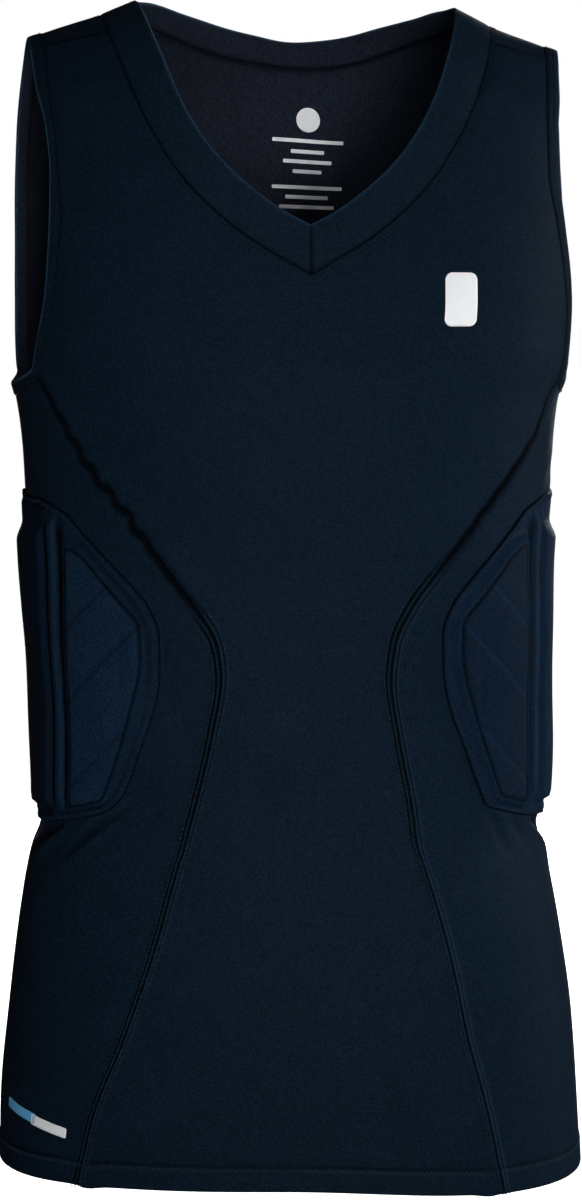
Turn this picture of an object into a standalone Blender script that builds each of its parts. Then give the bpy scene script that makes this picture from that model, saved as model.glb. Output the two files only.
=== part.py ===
"""Padded compression shirt: a sleeveless, V-necked base layer that keeps its worn, hollow shape.

It is cut and sewn from nine pieces: a front, a back, two side panels that reach from the front
seam round under the arm to the back seam, a moulded foam pad sewn on each side panel, a mitred
neckband and a band round each armhole. The hem is turned up and has no piece of its own.

The origin lies midway between the shoulders, at the height of the shoulder seams. The front
faces -Y, Z is up, and left and right are the wearer's, so the left side is at +X.

Every piece is drawn on one body form. A place on it has two numbers. "around" is the angle in
degrees from the middle of the front, past the side at 90 to the middle of the back at 180.
"down" is the distance along the cloth from the ridge of the shoulder, and it is negative where
a piece passes over the ridge to the other side.
"""

import math

import bmesh
import bpy
import numpy as np
from mathutils import Vector
from mathutils.geometry import delaunay_2d_cdt

# Driving sizes, in metres
HEM_HEIGHT = -0.669
HEM_DEPTH = 0.014
HEM_DIP = 0.0040
HEM_DIP_WIDTH = 0.120
SHOULDER_ROLL = 0.065
NECK_POINT_X = 0.093
NECK_POINT_HEIGHT = 0.030
SHOULDER_SLOPE = math.tan(math.radians(19.0))
RIDGE_SOFTNESS = 0.040
LEFT_DROP = 0.0055
DROP_START_X = 0.070
DROP_WIDTH = 0.070
DROP_REACH = 0.160
DROP_SHIFT_BEHIND = 0.090
DROP_SHIFT_DEPTH = 0.050
CLOTH = 0.0013
HEM_CLOTH = 0.0022
BAND_CLOTH = 0.0022
BAND_RISE = 0.0004
NECK_EDGE_RISE = 0.0020
SEAM_GAP = 0.0003

# Pad sizes, in metres
PAD_FLANGE = 0.0016
PAD_PLATE = 0.0062
PAD_RIB = 0.0048
PAD_GROOVE = 0.0022
PAD_SLOPE = 0.0050
CHANNEL_DEPTH = 0.0018
CHANNEL_WIDTH = 0.0040
PLATE_INSET = 0.0050
PLATE_TOP_INSET = 0.0160
PLATE_FOOT_INSET = 0.0090

# The width of a rib's rounded edge, in degrees
RIB_EDGE = 1.0

# Level sections through the worn shirt, from above the shoulders to below the hem.
# Heights, widths and depths in metres, turn in degrees. A squareness of 2 is an ellipse.
SECTION_COLUMNS = ("height", "half_width", "front", "back", "squareness", "turn", "shift")
SECTIONS = (
    (0.060, 0.1700, 0.070, 0.060, 2.30, 0.0, 0.002),
    (0.000, 0.1715, 0.082, 0.076, 2.30, 0.0, 0.002),
    (-0.050, 0.1735, 0.094, 0.092, 2.35, 0.0, 0.002),
    (-0.100, 0.1735, 0.105, 0.103, 2.40, 0.0, 0.002),
    (-0.150, 0.1730, 0.113, 0.108, 2.40, 0.0, 0.002),
    (-0.190, 0.1720, 0.116, 0.107, 2.40, 0.0, -0.001),
    (-0.214, 0.1660, 0.115, 0.106, 2.40, 0.0, -0.003),
    (-0.250, 0.1615, 0.113, 0.103, 2.40, 0.0, -0.0025),
    (-0.300, 0.1585, 0.108, 0.098, 2.40, 0.0, -0.002),
    (-0.340, 0.1560, 0.105, 0.094, 2.50, 0.0, -0.002),
    (-0.400, 0.1540, 0.102, 0.088, 2.50, 0.0, -0.001),
    (-0.447, 0.1530, 0.100, 0.085, 2.50, -0.5, 0.000),
    (-0.470, 0.1520, 0.100, 0.087, 2.50, -1.0, -0.001),
    (-0.485, 0.1565, 0.101, 0.089, 2.50, -1.3, -0.0015),
    (-0.510, 0.1620, 0.103, 0.093, 2.60, -1.8, -0.0015),
    (-0.535, 0.1660, 0.104, 0.098, 2.70, -2.5, -0.0015),
    (-0.583, 0.1710, 0.107, 0.106, 2.80, -3.6, -0.0015),
    (-0.632, 0.1755, 0.109, 0.111, 2.90, -4.6, -0.001),
    (-0.680, 0.1780, 0.110, 0.113, 2.95, -5.5, -0.001),
)

# The seam between the front and a side panel, from the hem up to the armhole. It pinches in at
# the waist. The back has the same seam, mirrored.
SEAM_COLUMNS = ("down", "around")
SIDE_SEAM = (
    (0.246, 62.5),
    (0.264, 59.0),
    (0.284, 55.0),
    (0.324, 43.6),
    (0.373, 31.0),
    (0.411, 22.4),
    (0.432, 19.4),
    (0.455, 18.4),
    (0.485, 19.9),
    (0.560, 26.0),
    (0.650, 33.2),
    (0.732, 39.0),
)

# The neckband. Station 0 is the point of the V, 1 the shoulder seam and 2 the middle of the
# back. Each row gives the seam to the panels and the folded edge next to the neck.
BAND_COLUMNS = ("station", "seam_around", "seam_down", "edge_around", "edge_down")
NECK = (
    (0.00, 0.0, 0.226, 0.0, 0.197),
    (0.18, 9.3, 0.206, 5.4, 0.187),
    (0.34, 17.2, 0.182, 12.0, 0.168),
    (0.52, 24.8, 0.151, 19.2, 0.139),
    (0.69, 31.3, 0.114, 24.7, 0.106),
    (0.86, 37.2, 0.073, 29.0, 0.071),
    (1.00, 39.9, 0.046, 31.4, 0.044),
    (1.17, 41.5, 0.000, 33.0, 0.000),
    (1.35, 35.5, -0.031, 28.4, -0.022),
    (1.55, 29.0, -0.050, 23.0, -0.037),
    (1.75, 20.0, -0.0715, 15.8, -0.058),
    (1.88, 11.0, -0.0870, 8.6, -0.068),
    (2.00, 0.0, -0.0945, 0.0, -0.074),
)

# The armhole band. Station 0 is the shoulder seam, 1 the front seam, 2 the back seam, and 3 the
# shoulder seam again, reached from the back over the ridge.
ARMHOLE = (
    (0.00, 59.0, 0.037, 66.5, 0.037),
    (0.12, 57.4, 0.062, 64.2, 0.066),
    (0.30, 54.4, 0.092, 60.4, 0.097),
    (0.46, 52.9, 0.122, 58.4, 0.126),
    (0.62, 52.8, 0.152, 58.2, 0.155),
    (0.78, 54.2, 0.188, 60.0, 0.187),
    (0.91, 58.8, 0.224, 64.4, 0.220),
    (1.00, 62.5, 0.246, 69.0, 0.2385),
    (1.25, 76.0, 0.2525, 78.5, 0.2430),
    (1.50, 90.0, 0.2540, 90.0, 0.2440),
    (1.75, 104.0, 0.2525, 101.0, 0.2430),
    (2.00, 117.5, 0.246, 108.5, 0.2385),
    (2.17, 115.6, 0.200, 105.6, 0.198),
    (2.35, 114.2, 0.150, 104.2, 0.150),
    (2.53, 115.0, 0.100, 105.2, 0.100),
    (2.71, 117.4, 0.050, 108.4, 0.050),
    (2.88, 119.6, 0.000, 111.0, 0.000),
    (3.00, 121.0, -0.037, 113.5, -0.037),
)

# The pad's front edge, from its foot to the corner where its top edge starts.
PAD_EDGE = (
    (0.367, 41.3),
    (0.3835, 36.2),
    (0.400, 32.2),
    (0.418, 30.2),
    (0.441, 30.4),
    (0.4635, 32.3),
    (0.481, 35.3),
    (0.498, 38.0),
    (0.514, 41.5),
)

# The pad's top edge, from that corner to the side, and the straight foot.
TOP_COLUMNS = ("around", "down")
PAD_TOP = (
    (41.3, 0.367),
    (48.0, 0.347),
    (55.0, 0.329),
    (67.0, 0.317),
    (90.0, 0.312),
)
PAD_FOOT_DOWN = 0.514
PAD_CORNER_DOWN = 0.367
SEAM_BESIDE_CORNER = 0.355

# The mesh columns of a side panel, as angles at four of its rows. They follow the pad's plates.
COLUMN_PLACES = ("row", "pad_edge", "plate_rear", "side_plate")
SIDE_COLUMNS = (
    ("hem", 46.0, 56.0, 63.0),
    ("pad_foot", 41.5, 53.5, 62.0),
    ("pad_top", 41.3, 53.5, 62.0),
    ("armhole", 66.5, 71.0, 76.0),
)
COLUMN_STEPS = (2, 4, 1, 4, 1, 4, 2)

# Slanting channels pressed into the front plate, each with its two ends.
CHANNEL_COLUMNS = ("start_around", "start_down", "end_around", "end_down")
CHANNELS = (
    (40.0, 0.3800, 51.2, 0.3920),
    (34.0, 0.4060, 52.6, 0.4350),
    (38.5, 0.4610, 53.2, 0.4800),
)

# Mesh steps
ROWS_TO_PAD = 6
ROWS_ON_PAD = 8
ROWS_TO_ARMHOLE = 4
ROWS_ARM_FRONT = 9
ROWS_ARM_BACK = 11
STEPS_SHOULDER = 2
STEPS_NECK_FRONT = 10
STEPS_NECK_BACK = 12
BAND_STEPS = 2
PAD_FINENESS = 3
STEPS_HEM = 16
LATTICE = 0.0175
LATTICE_MARGIN = 0.0085
MEAN_DEGREE = 0.0024

# Settings of the drawing. The two probes measure slopes of the body form, in degrees around
# and in metres down.
HEIGHT_PASSES = 6
PROBE_AROUND = 0.05
PROBE_DOWN = 0.0001
LOOKUP_POINTS = 401
WELD_DISTANCE = 1e-7
SHARP_ANGLE = math.radians(40.0)

# Colours, linear, of the dark navy cloth, and how matt it is
CLOTH_COLOUR = (0.0050, 0.0098, 0.0168)
BAND_COLOUR = (0.0040, 0.0085, 0.0150)
PAD_COLOUR = (0.0056, 0.0120, 0.0235)
CLOTH_ROUGHNESS = 0.60
BAND_ROUGHNESS = 0.55
PAD_ROUGHNESS = 0.55


def clear_scene():
    for item in list(bpy.data.objects):
        bpy.data.objects.remove(item, do_unlink=True)


def column(table, names, name):
    """One named column of a table, as an array."""
    return np.array([row[names.index(name)] for row in table], float)


def smooth(at, knots, values):
    """The value at a place on the smooth curve through the knots, with no overshoot."""
    at = np.asarray(at, float)
    steps = np.diff(knots)
    slopes = np.diff(values) / steps
    tangents = np.concatenate([slopes[:1], np.zeros(len(slopes) - 1), slopes[-1:]])
    for place in range(1, len(slopes)):
        before, after = slopes[place - 1], slopes[place]
        if before * after > 0:
            tangents[place] = 2 * before * after / (before + after)
    span = np.clip(np.searchsorted(knots, at, side="right") - 1, 0, len(steps) - 1)
    width = steps[span]
    t = np.clip((at - knots[span]) / width, 0, 1)
    return (
        (1 + 2 * t) * (1 - t) ** 2 * values[span]
        + t * (1 - t) ** 2 * width * tangents[span]
        + t * t * (3 - 2 * t) * values[span + 1]
        - t * t * (1 - t) * width * tangents[span + 1]
    )


def section(height, name):
    """One column of the sections, at a height."""
    heights = column(SECTIONS, SECTION_COLUMNS, "height")[::-1]
    return smooth(height, heights, column(SECTIONS, SECTION_COLUMNS, name)[::-1])


def ease(value):
    """0 below 0, 1 above 1, and a soft step between."""
    value = np.clip(value, 0, 1)
    return value * value * (3 - 2 * value)


def ridge_height(x):
    """Height of the shoulder ridge at a distance from the middle."""
    reach = np.sqrt(x * x + RIDGE_SOFTNESS**2) - math.hypot(NECK_POINT_X, RIDGE_SOFTNESS)
    return NECK_POINT_HEIGHT - SHOULDER_SLOPE * reach


def across(around, height):
    """Sideways and front-to-back share of a section's size, at an angle."""
    angle = np.radians(around)
    power = section(height, "squareness")
    sine, cosine = np.sin(angle), np.cos(angle)
    radius = (np.abs(sine) ** power + np.abs(cosine) ** power) ** (-1 / power)
    return radius * sine, radius * cosine


def body(places):
    """Points of the body form. The last axis of places is around and down."""
    around, down = places[..., 0], places[..., 1]
    turned = np.minimum(np.abs(down) / SHOULDER_ROLL, math.pi / 2)
    roll = np.sin(turned) * np.where(down < 0, -1.0, 1.0)
    straight = np.maximum(np.abs(down) - SHOULDER_ROLL * math.pi / 2, 0)
    drop = SHOULDER_ROLL * (1 - np.cos(turned)) + straight
    height = -np.abs(down)
    for _ in range(HEIGHT_PASSES):
        sideways, forward = across(around, height)
        x = section(height, "half_width") * sideways
        height = ridge_height(x) - drop
    forward = forward * roll
    depth = np.where(forward > 0, section(height, "front"), section(height, "back"))
    y = -depth * forward
    turn = np.radians(section(height, "turn"))
    moved_x = x * np.cos(turn) - y * np.sin(turn) + section(height, "shift")
    moved_y = x * np.sin(turn) + y * np.cos(turn)
    lowered = left_drop(moved_x, moved_y) * ease(1 + height / DROP_REACH)
    return np.stack([moved_x, moved_y, height - lowered], axis=-1)


def left_drop(x, y):
    """How much lower the left shoulder hangs. Behind, the drop starts nearer the middle."""
    start = DROP_START_X - DROP_SHIFT_BEHIND * ease(y / DROP_SHIFT_DEPTH)
    return LEFT_DROP * ease((x - start) / DROP_WIDTH)


def outward(places):
    """Unit normals of the body form, pointing away from the wearer."""
    steps = []
    for step in (np.array([PROBE_AROUND, 0.0]), np.array([0.0, PROBE_DOWN])):
        steps.append(body(places + step) - body(places - step))
    normal = np.cross(steps[1], steps[0])
    return normal / np.linalg.norm(normal, axis=-1, keepdims=True)


def hem_down(around):
    """Distance down the cloth to the hem, which dips a little on the left."""
    x = section(HEM_HEIGHT, "half_width") * across(around, HEM_HEIGHT)[0]
    height = HEM_HEIGHT - HEM_DIP * ease(x / HEM_DIP_WIDTH)
    return ridge_height(x) - height + (math.pi / 2 - 1) * SHOULDER_ROLL


def side_seam(down):
    """Angle of the side seam at a distance down the cloth."""
    knots = column(SIDE_SEAM, SEAM_COLUMNS, "down")
    return smooth(down, knots, column(SIDE_SEAM, SEAM_COLUMNS, "around"))


def seam_rows(side):
    """The front side seam's points on one side, 1 or -1, from the hem up to the armhole."""
    hem = hem_down(side * SIDE_SEAM[-1][1])
    downs = np.concatenate(
        [
            [hem],
            np.linspace(hem - HEM_DEPTH, PAD_FOOT_DOWN, ROWS_TO_PAD + 1)[:-1],
            np.linspace(PAD_FOOT_DOWN, SEAM_BESIDE_CORNER, ROWS_ON_PAD + 1)[:-1],
            np.linspace(SEAM_BESIDE_CORNER, SIDE_SEAM[0][0], ROWS_TO_ARMHOLE + 1),
        ]
    )
    return np.stack([side_seam(downs), downs], axis=-1)


def band_line(table, line, stations):
    """Points of a band's seam or edge at its stations."""
    knots = column(table, BAND_COLUMNS, "station")
    around = smooth(stations, knots, column(table, BAND_COLUMNS, line + "_around"))
    down = smooth(stations, knots, column(table, BAND_COLUMNS, line + "_down"))
    return np.stack([around, down], axis=-1)


def mirrored(places):
    """The same places on the other side of the wearer."""
    return places * np.array([-1.0, 1.0])


def behind(places):
    """The places that lie as far behind the side as these lie in front of it."""
    return np.array([180.0, 0.0]) + mirrored(places)


def on_back(places):
    """The same points, named from the back: past the side, and over the ridge."""
    return np.array([180.0, 0.0]) - places


def shoulder_seam():
    """From the armhole to the neck, a little way down the front."""
    arm = band_line(ARMHOLE, "seam", np.array([0.0]))[0]
    neck = band_line(NECK, "seam", np.array([1.0]))[0]
    return arm + np.linspace(0, 1, STEPS_SHOULDER + 1)[:, None] * (neck - arm)


def armhole_stations():
    """Stations of the band's points: up the front, under the arm, and up the back."""
    front = np.linspace(0, 1, ROWS_ARM_FRONT + 1)
    back = np.linspace(2, 3, ROWS_ARM_BACK + 1)
    knots = column(ARMHOLE, BAND_COLUMNS, "station")
    under = (knots >= 1) & (knots <= 2)
    angles = column(ARMHOLE, BAND_COLUMNS, "seam_around")[under]
    places = np.linspace(1, 2, LOOKUP_POINTS)
    lookup = smooth(places, knots, column(ARMHOLE, BAND_COLUMNS, "seam_around"))
    bottom = np.interp(side_angles("armhole", angles[0]), lookup, places)
    return front, bottom, back


def side_angles(row, seam_angle):
    """Angles of a side panel's mesh columns, at one of its named rows."""
    names = [line[0] for line in SIDE_COLUMNS]
    return spread_columns(seam_angle, SIDE_COLUMNS[names.index(row)][1:])


def spread_columns(seam_angle, keys):
    """Mesh columns between the front seam and the back seam, which mirror each other."""
    front = [seam_angle, *keys]
    stops = front + [180 - angle for angle in reversed(front)]
    angles = [stops[0]]
    for start, end, steps in zip(stops, stops[1:], COLUMN_STEPS):
        angles.extend(np.linspace(start, end, steps + 1)[1:])
    return np.array(angles)


def hem_points(start, end):
    """A panel's hem between two angles."""
    around = np.linspace(start, end, STEPS_HEM + 1)
    return np.stack([around, hem_down(around)], axis=-1)


def front_outline():
    """Round the front panel: up the left seam and armhole, across the neck, down and back."""
    arm = band_line(ARMHOLE, "seam", armhole_stations()[0])[::-1]
    neck = band_line(NECK, "seam", np.linspace(1, 0, STEPS_NECK_FRONT + 1))
    top = np.concatenate([arm[1:], shoulder_seam()[1:], neck[1:]])
    left = np.concatenate([seam_rows(1), top])
    right = mirrored(np.concatenate([seam_rows(-1), top]))[-2::-1]
    hem = hem_points(right[-1, 0], left[0, 0])
    return np.concatenate([left, right, hem[1:-1]])


def back_outline():
    """Round the back panel the other way. It passes over the ridge to the shoulder seam."""
    arm = band_line(ARMHOLE, "seam", armhole_stations()[2])
    neck = band_line(NECK, "seam", np.linspace(1, 2, STEPS_NECK_BACK + 1))
    top = np.concatenate([arm[1:], on_back(np.concatenate([shoulder_seam(), neck[1:]]))[1:]])
    left, right = (
        np.concatenate([behind(seam_rows(side)), top])
        for side in (1, -1)
    )
    right = np.array([360.0, 0.0]) + mirrored(right)[-2::-1]
    hem = hem_points(right[-1, 0], left[0, 0])
    return np.concatenate([left, right, hem[1:-1]])[::-1]


def flattened(places):
    """Places laid nearly flat, in metres, with the hem straight."""
    return np.stack([places[..., 0] * MEAN_DEGREE, hem_down(places[..., 0]) - places[..., 1]], -1)


def lattice(outline):
    """Places inside an outline, in staggered rows that run along the hem."""
    flat = flattened(outline)
    low, high = flat.min(axis=0), flat.max(axis=0)
    middle = (low[0] + high[0]) / 2
    rise = LATTICE * math.sqrt(3) / 2
    found = []
    for row in range(int((high[1] - HEM_DEPTH) / rise) + 1):
        half = int((high[0] - low[0]) / LATTICE / 2) + 1
        x = middle + (np.arange(-half, half + 1) + (row % 2) / 2) * LATTICE
        found.append(np.stack([x, np.full_like(x, HEM_DEPTH + row * rise)], axis=-1))
    points = np.concatenate(found)
    start, end = flat, np.roll(flat, -1, axis=0)
    run = end - start
    away = points[:, None] - start
    along = np.clip(np.sum(away * run, -1) / np.sum(run * run, -1), 0, 1)
    distance = np.linalg.norm(away - along[..., None] * run, axis=-1).min(axis=1)
    level = (start[:, 1] > points[:, None, 1]) != (end[:, 1] > points[:, None, 1])
    steep = np.where(run[:, 1] == 0, 1.0, run[:, 1])
    crossing = start[:, 0] + (points[:, None, 1] - start[:, 1]) * run[:, 0] / steep
    inside = np.sum(level & (points[:, None, 0] < crossing), axis=1) % 2 == 1
    kept = points[inside & (distance > LATTICE_MARGIN)]
    around = kept[:, 0] / MEAN_DEGREE
    return np.stack([around, hem_down(around) - kept[:, 1]], axis=-1)


def filled(outline):
    """Places of a panel, outline first, and the triangles between them."""
    places = np.concatenate([outline, lattice(outline)])
    flat = [Vector(point) for point in flattened(places)]
    ring = list(range(len(outline)))
    found = delaunay_2d_cdt(flat, [], [ring], 1, WELD_DISTANCE)
    sources = [min(source) for source in found[3]]
    return places, [tuple(sources[corner] for corner in face) for face in found[2]]


def pad_top(around):
    """Distance down to the pad's top edge. It is the same behind the side as in front."""
    folded = np.where(around > 90, 180 - around, around)
    knots = column(PAD_TOP, TOP_COLUMNS, "around")
    return smooth(folded, knots, column(PAD_TOP, TOP_COLUMNS, "down"))


def pad_edge(down):
    """Angle of the pad's front edge."""
    knots = column(PAD_EDGE, SEAM_COLUMNS, "down")
    return smooth(down, knots, column(PAD_EDGE, SEAM_COLUMNS, "around"))


def side_places(side):
    """One side panel's grid, hem to armhole, front seam to back seam, drawn as on the left."""
    seam = seam_rows(side)
    foot_row = 1 + ROWS_TO_PAD
    top_row = foot_row + ROWS_ON_PAD
    last = len(seam) - 1
    stations = armhole_stations()[1]
    armhole = band_line(ARMHOLE, "seam", stations)
    rows = []
    for index, (seam_around, seam_down) in enumerate(seam):
        keys = column_keys(index, foot_row, top_row, last)
        around = spread_columns(seam_around, keys)
        foot = np.full_like(around, PAD_FOOT_DOWN)
        if index <= foot_row:
            share = (seam_down - seam[foot_row, 1]) / (seam[0, 1] - seam[foot_row, 1])
            down = foot + share * (hem_down(side * around) - foot)
        elif index <= top_row:
            share = (index - foot_row) / ROWS_ON_PAD
            down = foot + share * (pad_top(around) - foot)
        else:
            share = (index - top_row) / ROWS_TO_ARMHOLE
            down = pad_top(around) + share * (armhole[:, 1] - pad_top(around))
        reach = COLUMN_STEPS[0] if index <= top_row else len(around) // 2
        fade = np.clip(1 - np.arange(len(around)) / reach, 0, 1)
        down = down + (seam_down - down[0]) * (fade + fade[::-1])
        rows.append(np.stack([around, down], axis=-1))
    rows[-1] = armhole
    return np.array(rows)


def column_keys(index, foot_row, top_row, last):
    """Angles that the mesh columns pass through in one row of a side panel."""
    stops = (0, foot_row, top_row, last)
    table = [column(SIDE_COLUMNS, COLUMN_PLACES, name) for name in COLUMN_PLACES[1:]]
    keys = [float(np.interp(index, stops, values)) for values in table]
    if foot_row <= index <= top_row:
        share = (index - foot_row) / ROWS_ON_PAD
        keys[0] = float(pad_edge(PAD_FOOT_DOWN + share * (PAD_CORNER_DOWN - PAD_FOOT_DOWN)))
    return keys


def pad_block(side):
    """The part of a side panel's grid that lies under its pad."""
    first = COLUMN_STEPS[0]
    rows = slice(1 + ROWS_TO_PAD, 2 + ROWS_TO_PAD + ROWS_ON_PAD)
    return side[rows, first : side.shape[1] - first]


def refined(grid, times):
    """A grid with more lines, straight between the ones that it had."""
    for axis in (0, 1):
        count = grid.shape[axis]
        at = np.linspace(0, count - 1, (count - 1) * times + 1)
        low = np.minimum(at.astype(int), count - 2)
        share = (at - low).reshape([-1 if part == axis else 1 for part in range(3)])
        grid = grid.take(low, axis) * (1 - share) + grid.take(low + 1, axis) * share
    return grid


def degree_length(places):
    """Metres of cloth in one degree around, at each place."""
    step = np.array([0.5, 0.0])
    return np.linalg.norm(body(places + step) - body(places - step), axis=-1)


def pad_height(places):
    """Thickness of the pad: a flange, three plates, two ribs and the front plates' channels."""
    around, down = np.abs(places[..., 0]), places[..., 1]
    folded = np.where(around > 90, 180 - around, around)
    degree = degree_length(places)
    names = COLUMN_PLACES[1:]
    plate_rear = SIDE_COLUMNS[1][1 + names.index("plate_rear")]
    side_plate = SIDE_COLUMNS[1][1 + names.index("side_plate")]
    from_edge = (folded - pad_edge(down)) * degree
    from_top = down - pad_top(folded)
    from_foot = PAD_FOOT_DOWN - down
    ends = np.minimum(from_top - PLATE_TOP_INSET, from_foot - PLATE_FOOT_INSET)
    front = np.minimum(from_edge - PLATE_INSET, (plate_rear - folded) * degree)
    front = np.minimum(front, np.minimum(from_top, from_foot) - PLATE_FOOT_INSET)
    side = np.minimum((folded - side_plate) * degree, ends)
    middle = (plate_rear + side_plate) / 2
    rib = np.minimum(side_plate - middle - np.abs(folded - middle), RIB_EDGE) * degree
    plates = np.maximum(ease(front / PAD_SLOPE), ease(side / PAD_SLOPE))
    inside = ease((np.minimum(from_top, np.minimum(from_foot, from_edge))) / PAD_SLOPE)
    base = PAD_FLANGE + (PAD_GROOVE - PAD_FLANGE) * inside
    ribs = ease(2 * rib / PAD_SLOPE) * ease(ends / PAD_SLOPE + 1) * (PAD_RIB - PAD_GROOVE)
    height = base + np.maximum((PAD_PLATE - PAD_GROOVE) * plates, ribs)
    for channel in CHANNELS:
        away = channel_distance(folded, down, degree, channel)
        groove = CHANNEL_DEPTH * np.exp(-((away / CHANNEL_WIDTH) ** 2))
        height = height - groove * ease(front / PAD_SLOPE)
    return height


def channel_distance(folded, down, degree, channel):
    """Distance to the straight run of one channel."""
    ends = dict(zip(CHANNEL_COLUMNS, channel))
    run_x = (ends["end_around"] - ends["start_around"]) * degree
    run_y = ends["end_down"] - ends["start_down"]
    x, y = (folded - ends["start_around"]) * degree, down - ends["start_down"]
    along = np.clip((x * run_x + y * run_y) / (run_x**2 + run_y**2), 0, 1)
    return np.hypot(x - along * run_x, y - along * run_y)


def drawn_in(points, closed=False):
    """The points with their border moved half a seam gap towards the middle."""
    moved = points.copy()
    for axis in (1,) if closed else (0, 1):
        lines = np.moveaxis(points, axis, 0)
        for border, neighbour in ((0, 1), (-1, -2)):
            along = np.gradient(lines[border], axis=0)
            if closed:
                before, after = np.roll(lines[border], 1, 0), np.roll(lines[border], -1, 0)
                along = after - before
            along /= np.linalg.norm(along, axis=-1, keepdims=True)
            inward = lines[neighbour] - lines[border]
            inward -= along * np.sum(inward * along, axis=-1, keepdims=True)
            inward /= np.linalg.norm(inward, axis=-1, keepdims=True)
            np.moveaxis(moved, axis, 0)[border] += SEAM_GAP / 2 * inward
    return moved


def grid_faces(rows, columns, closed, start, flip):
    """Triangles of a grid of points, all with the same diagonal."""
    faces = []
    for row in range(rows if closed else rows - 1):
        following = (row + 1) % rows
        for place in range(columns - 1):
            a = start + row * columns + place
            b = start + following * columns + place
            corners = ((a, a + 1, b + 1), (a, b + 1, b))
            faces.extend(tuple(reversed(face)) if flip else face for face in corners)
    return faces


def border(rows, columns):
    """Indices of a grid's outline, in order."""
    bottom = [place for place in range(columns)]
    right = [row * columns + columns - 1 for row in range(1, rows)]
    top = [(rows - 1) * columns + place for place in range(columns - 2, -1, -1)]
    left = [row * columns for row in range(rows - 2, 0, -1)]
    return bottom + right + top + left


def ring_faces(shape):
    """Faces of a band's wall: its outer grid, its inner grid and the rims between them."""
    rows, columns = shape[:2]
    count = rows * columns
    faces = grid_faces(rows, columns, True, 0, False)
    faces += grid_faces(rows, columns, True, count, True)
    for row in range(rows):
        following = (row + 1) % rows
        for place in (0, columns - 1):
            a, b = row * columns + place, following * columns + place
            rim = (a, b, b + count, a + count)
            faces.append(rim if place == 0 else tuple(reversed(rim)))
    return faces


def add_object(name, points, faces, colour, roughness):
    """A closed mesh with its own cloth material, its faces turned outwards."""
    mesh = bpy.data.meshes.new(name)
    mesh.from_pydata([tuple(point) for point in points], [], faces)
    shape = bmesh.new()
    shape.from_mesh(mesh)
    bmesh.ops.recalc_face_normals(shape, faces=shape.faces)
    shape.to_mesh(mesh)
    shape.free()
    cloth = bpy.data.materials.new(name)
    cloth.use_nodes = True
    surface = cloth.node_tree.nodes["Principled BSDF"]
    surface.inputs["Base Color"].default_value = (*colour, 1.0)
    surface.inputs["Roughness"].default_value = roughness
    surface.inputs["Metallic"].default_value = 0.0
    mesh.materials.append(cloth)
    mesh.shade_smooth()
    mesh.set_sharp_from_angle(angle=SHARP_ANGLE)
    item = bpy.data.objects.new(name, mesh)
    bpy.context.scene.collection.objects.link(item)
    return item


def add_panel(name, places, faces, outline):
    """A flat-cut panel: one wall of cloth, thicker where the hem is turned up."""
    turned_up = places[:, 1] > hem_down(places[:, 0]) - HEM_DEPTH - SEAM_GAP
    depth = np.where(turned_up, HEM_CLOTH, CLOTH)[:, None]
    normal = outward(places)
    outer = body(places) + inset(body(places), normal, outline)
    inner = outer - depth * normal
    count = len(places)
    walls = list(faces) + [tuple(count + corner for corner in reversed(face)) for face in faces]
    for a, b in zip(outline, outline[1:] + outline[:1]):
        walls.append((b, a, count + a, count + b))
    return add_object(name, np.concatenate([outer, inner]), walls, CLOTH_COLOUR, CLOTH_ROUGHNESS)


def inset(points, normal, outline):
    """Moves of the outline's points, half a seam gap into the panel."""
    moves = np.zeros_like(points)
    ring = points[outline]
    ahead = np.roll(ring, -1, axis=0) - ring
    ahead /= np.linalg.norm(ahead, axis=1, keepdims=True)
    sides = np.cross(normal[outline], ahead)
    before = np.roll(sides, 1, axis=0)
    mean = sides + before
    mean /= np.linalg.norm(mean, axis=1, keepdims=True)
    reach = SEAM_GAP / 2 / np.sum(mean * sides, axis=1, keepdims=True)
    moves[outline] = mean * reach
    return moves


def add_band(name, seam, edge, edge_rise):
    """A folded band round an opening, from its seam to its edge, which may stand off the body."""
    share = np.linspace(0, 1, BAND_STEPS + 1)[None, :, None]
    places = seam[:, None] * (1 - share) + edge[:, None] * share
    normal = outward(places)
    rise = BAND_RISE + edge_rise * share**2
    outer = drawn_in(body(places) + rise * normal, closed=True)
    inner = drawn_in(body(places) + (rise - BAND_CLOTH) * normal, closed=True)
    points = np.concatenate([outer.reshape(-1, 3), inner.reshape(-1, 3)])
    return add_object(name, points, ring_faces(outer.shape), BAND_COLOUR, BAND_ROUGHNESS)


def add_neckband():
    """One strip round the neck, mitred at the point of the V."""
    front = np.linspace(0, 1, STEPS_NECK_FRONT + 1)
    back = np.linspace(1, 2, STEPS_NECK_BACK + 1)[1:]
    stations = np.concatenate([front, back])
    lines = []
    for line in ("seam", "edge"):
        half = band_line(NECK, line, stations)
        lines.append(np.concatenate([half, mirrored(half[-2:0:-1])]))
    return add_band("neckband", *lines, NECK_EDGE_RISE)


def add_armband(name, side):
    """The band round one armhole."""
    front, under, back = armhole_stations()
    stations = np.concatenate([front, under[1:], back[1:-1]])
    lines = [band_line(ARMHOLE, line, stations) for line in ("seam", "edge")]
    if side < 0:
        lines = [mirrored(line) for line in lines]
    return add_band(name, *lines, 0.0)


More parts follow.
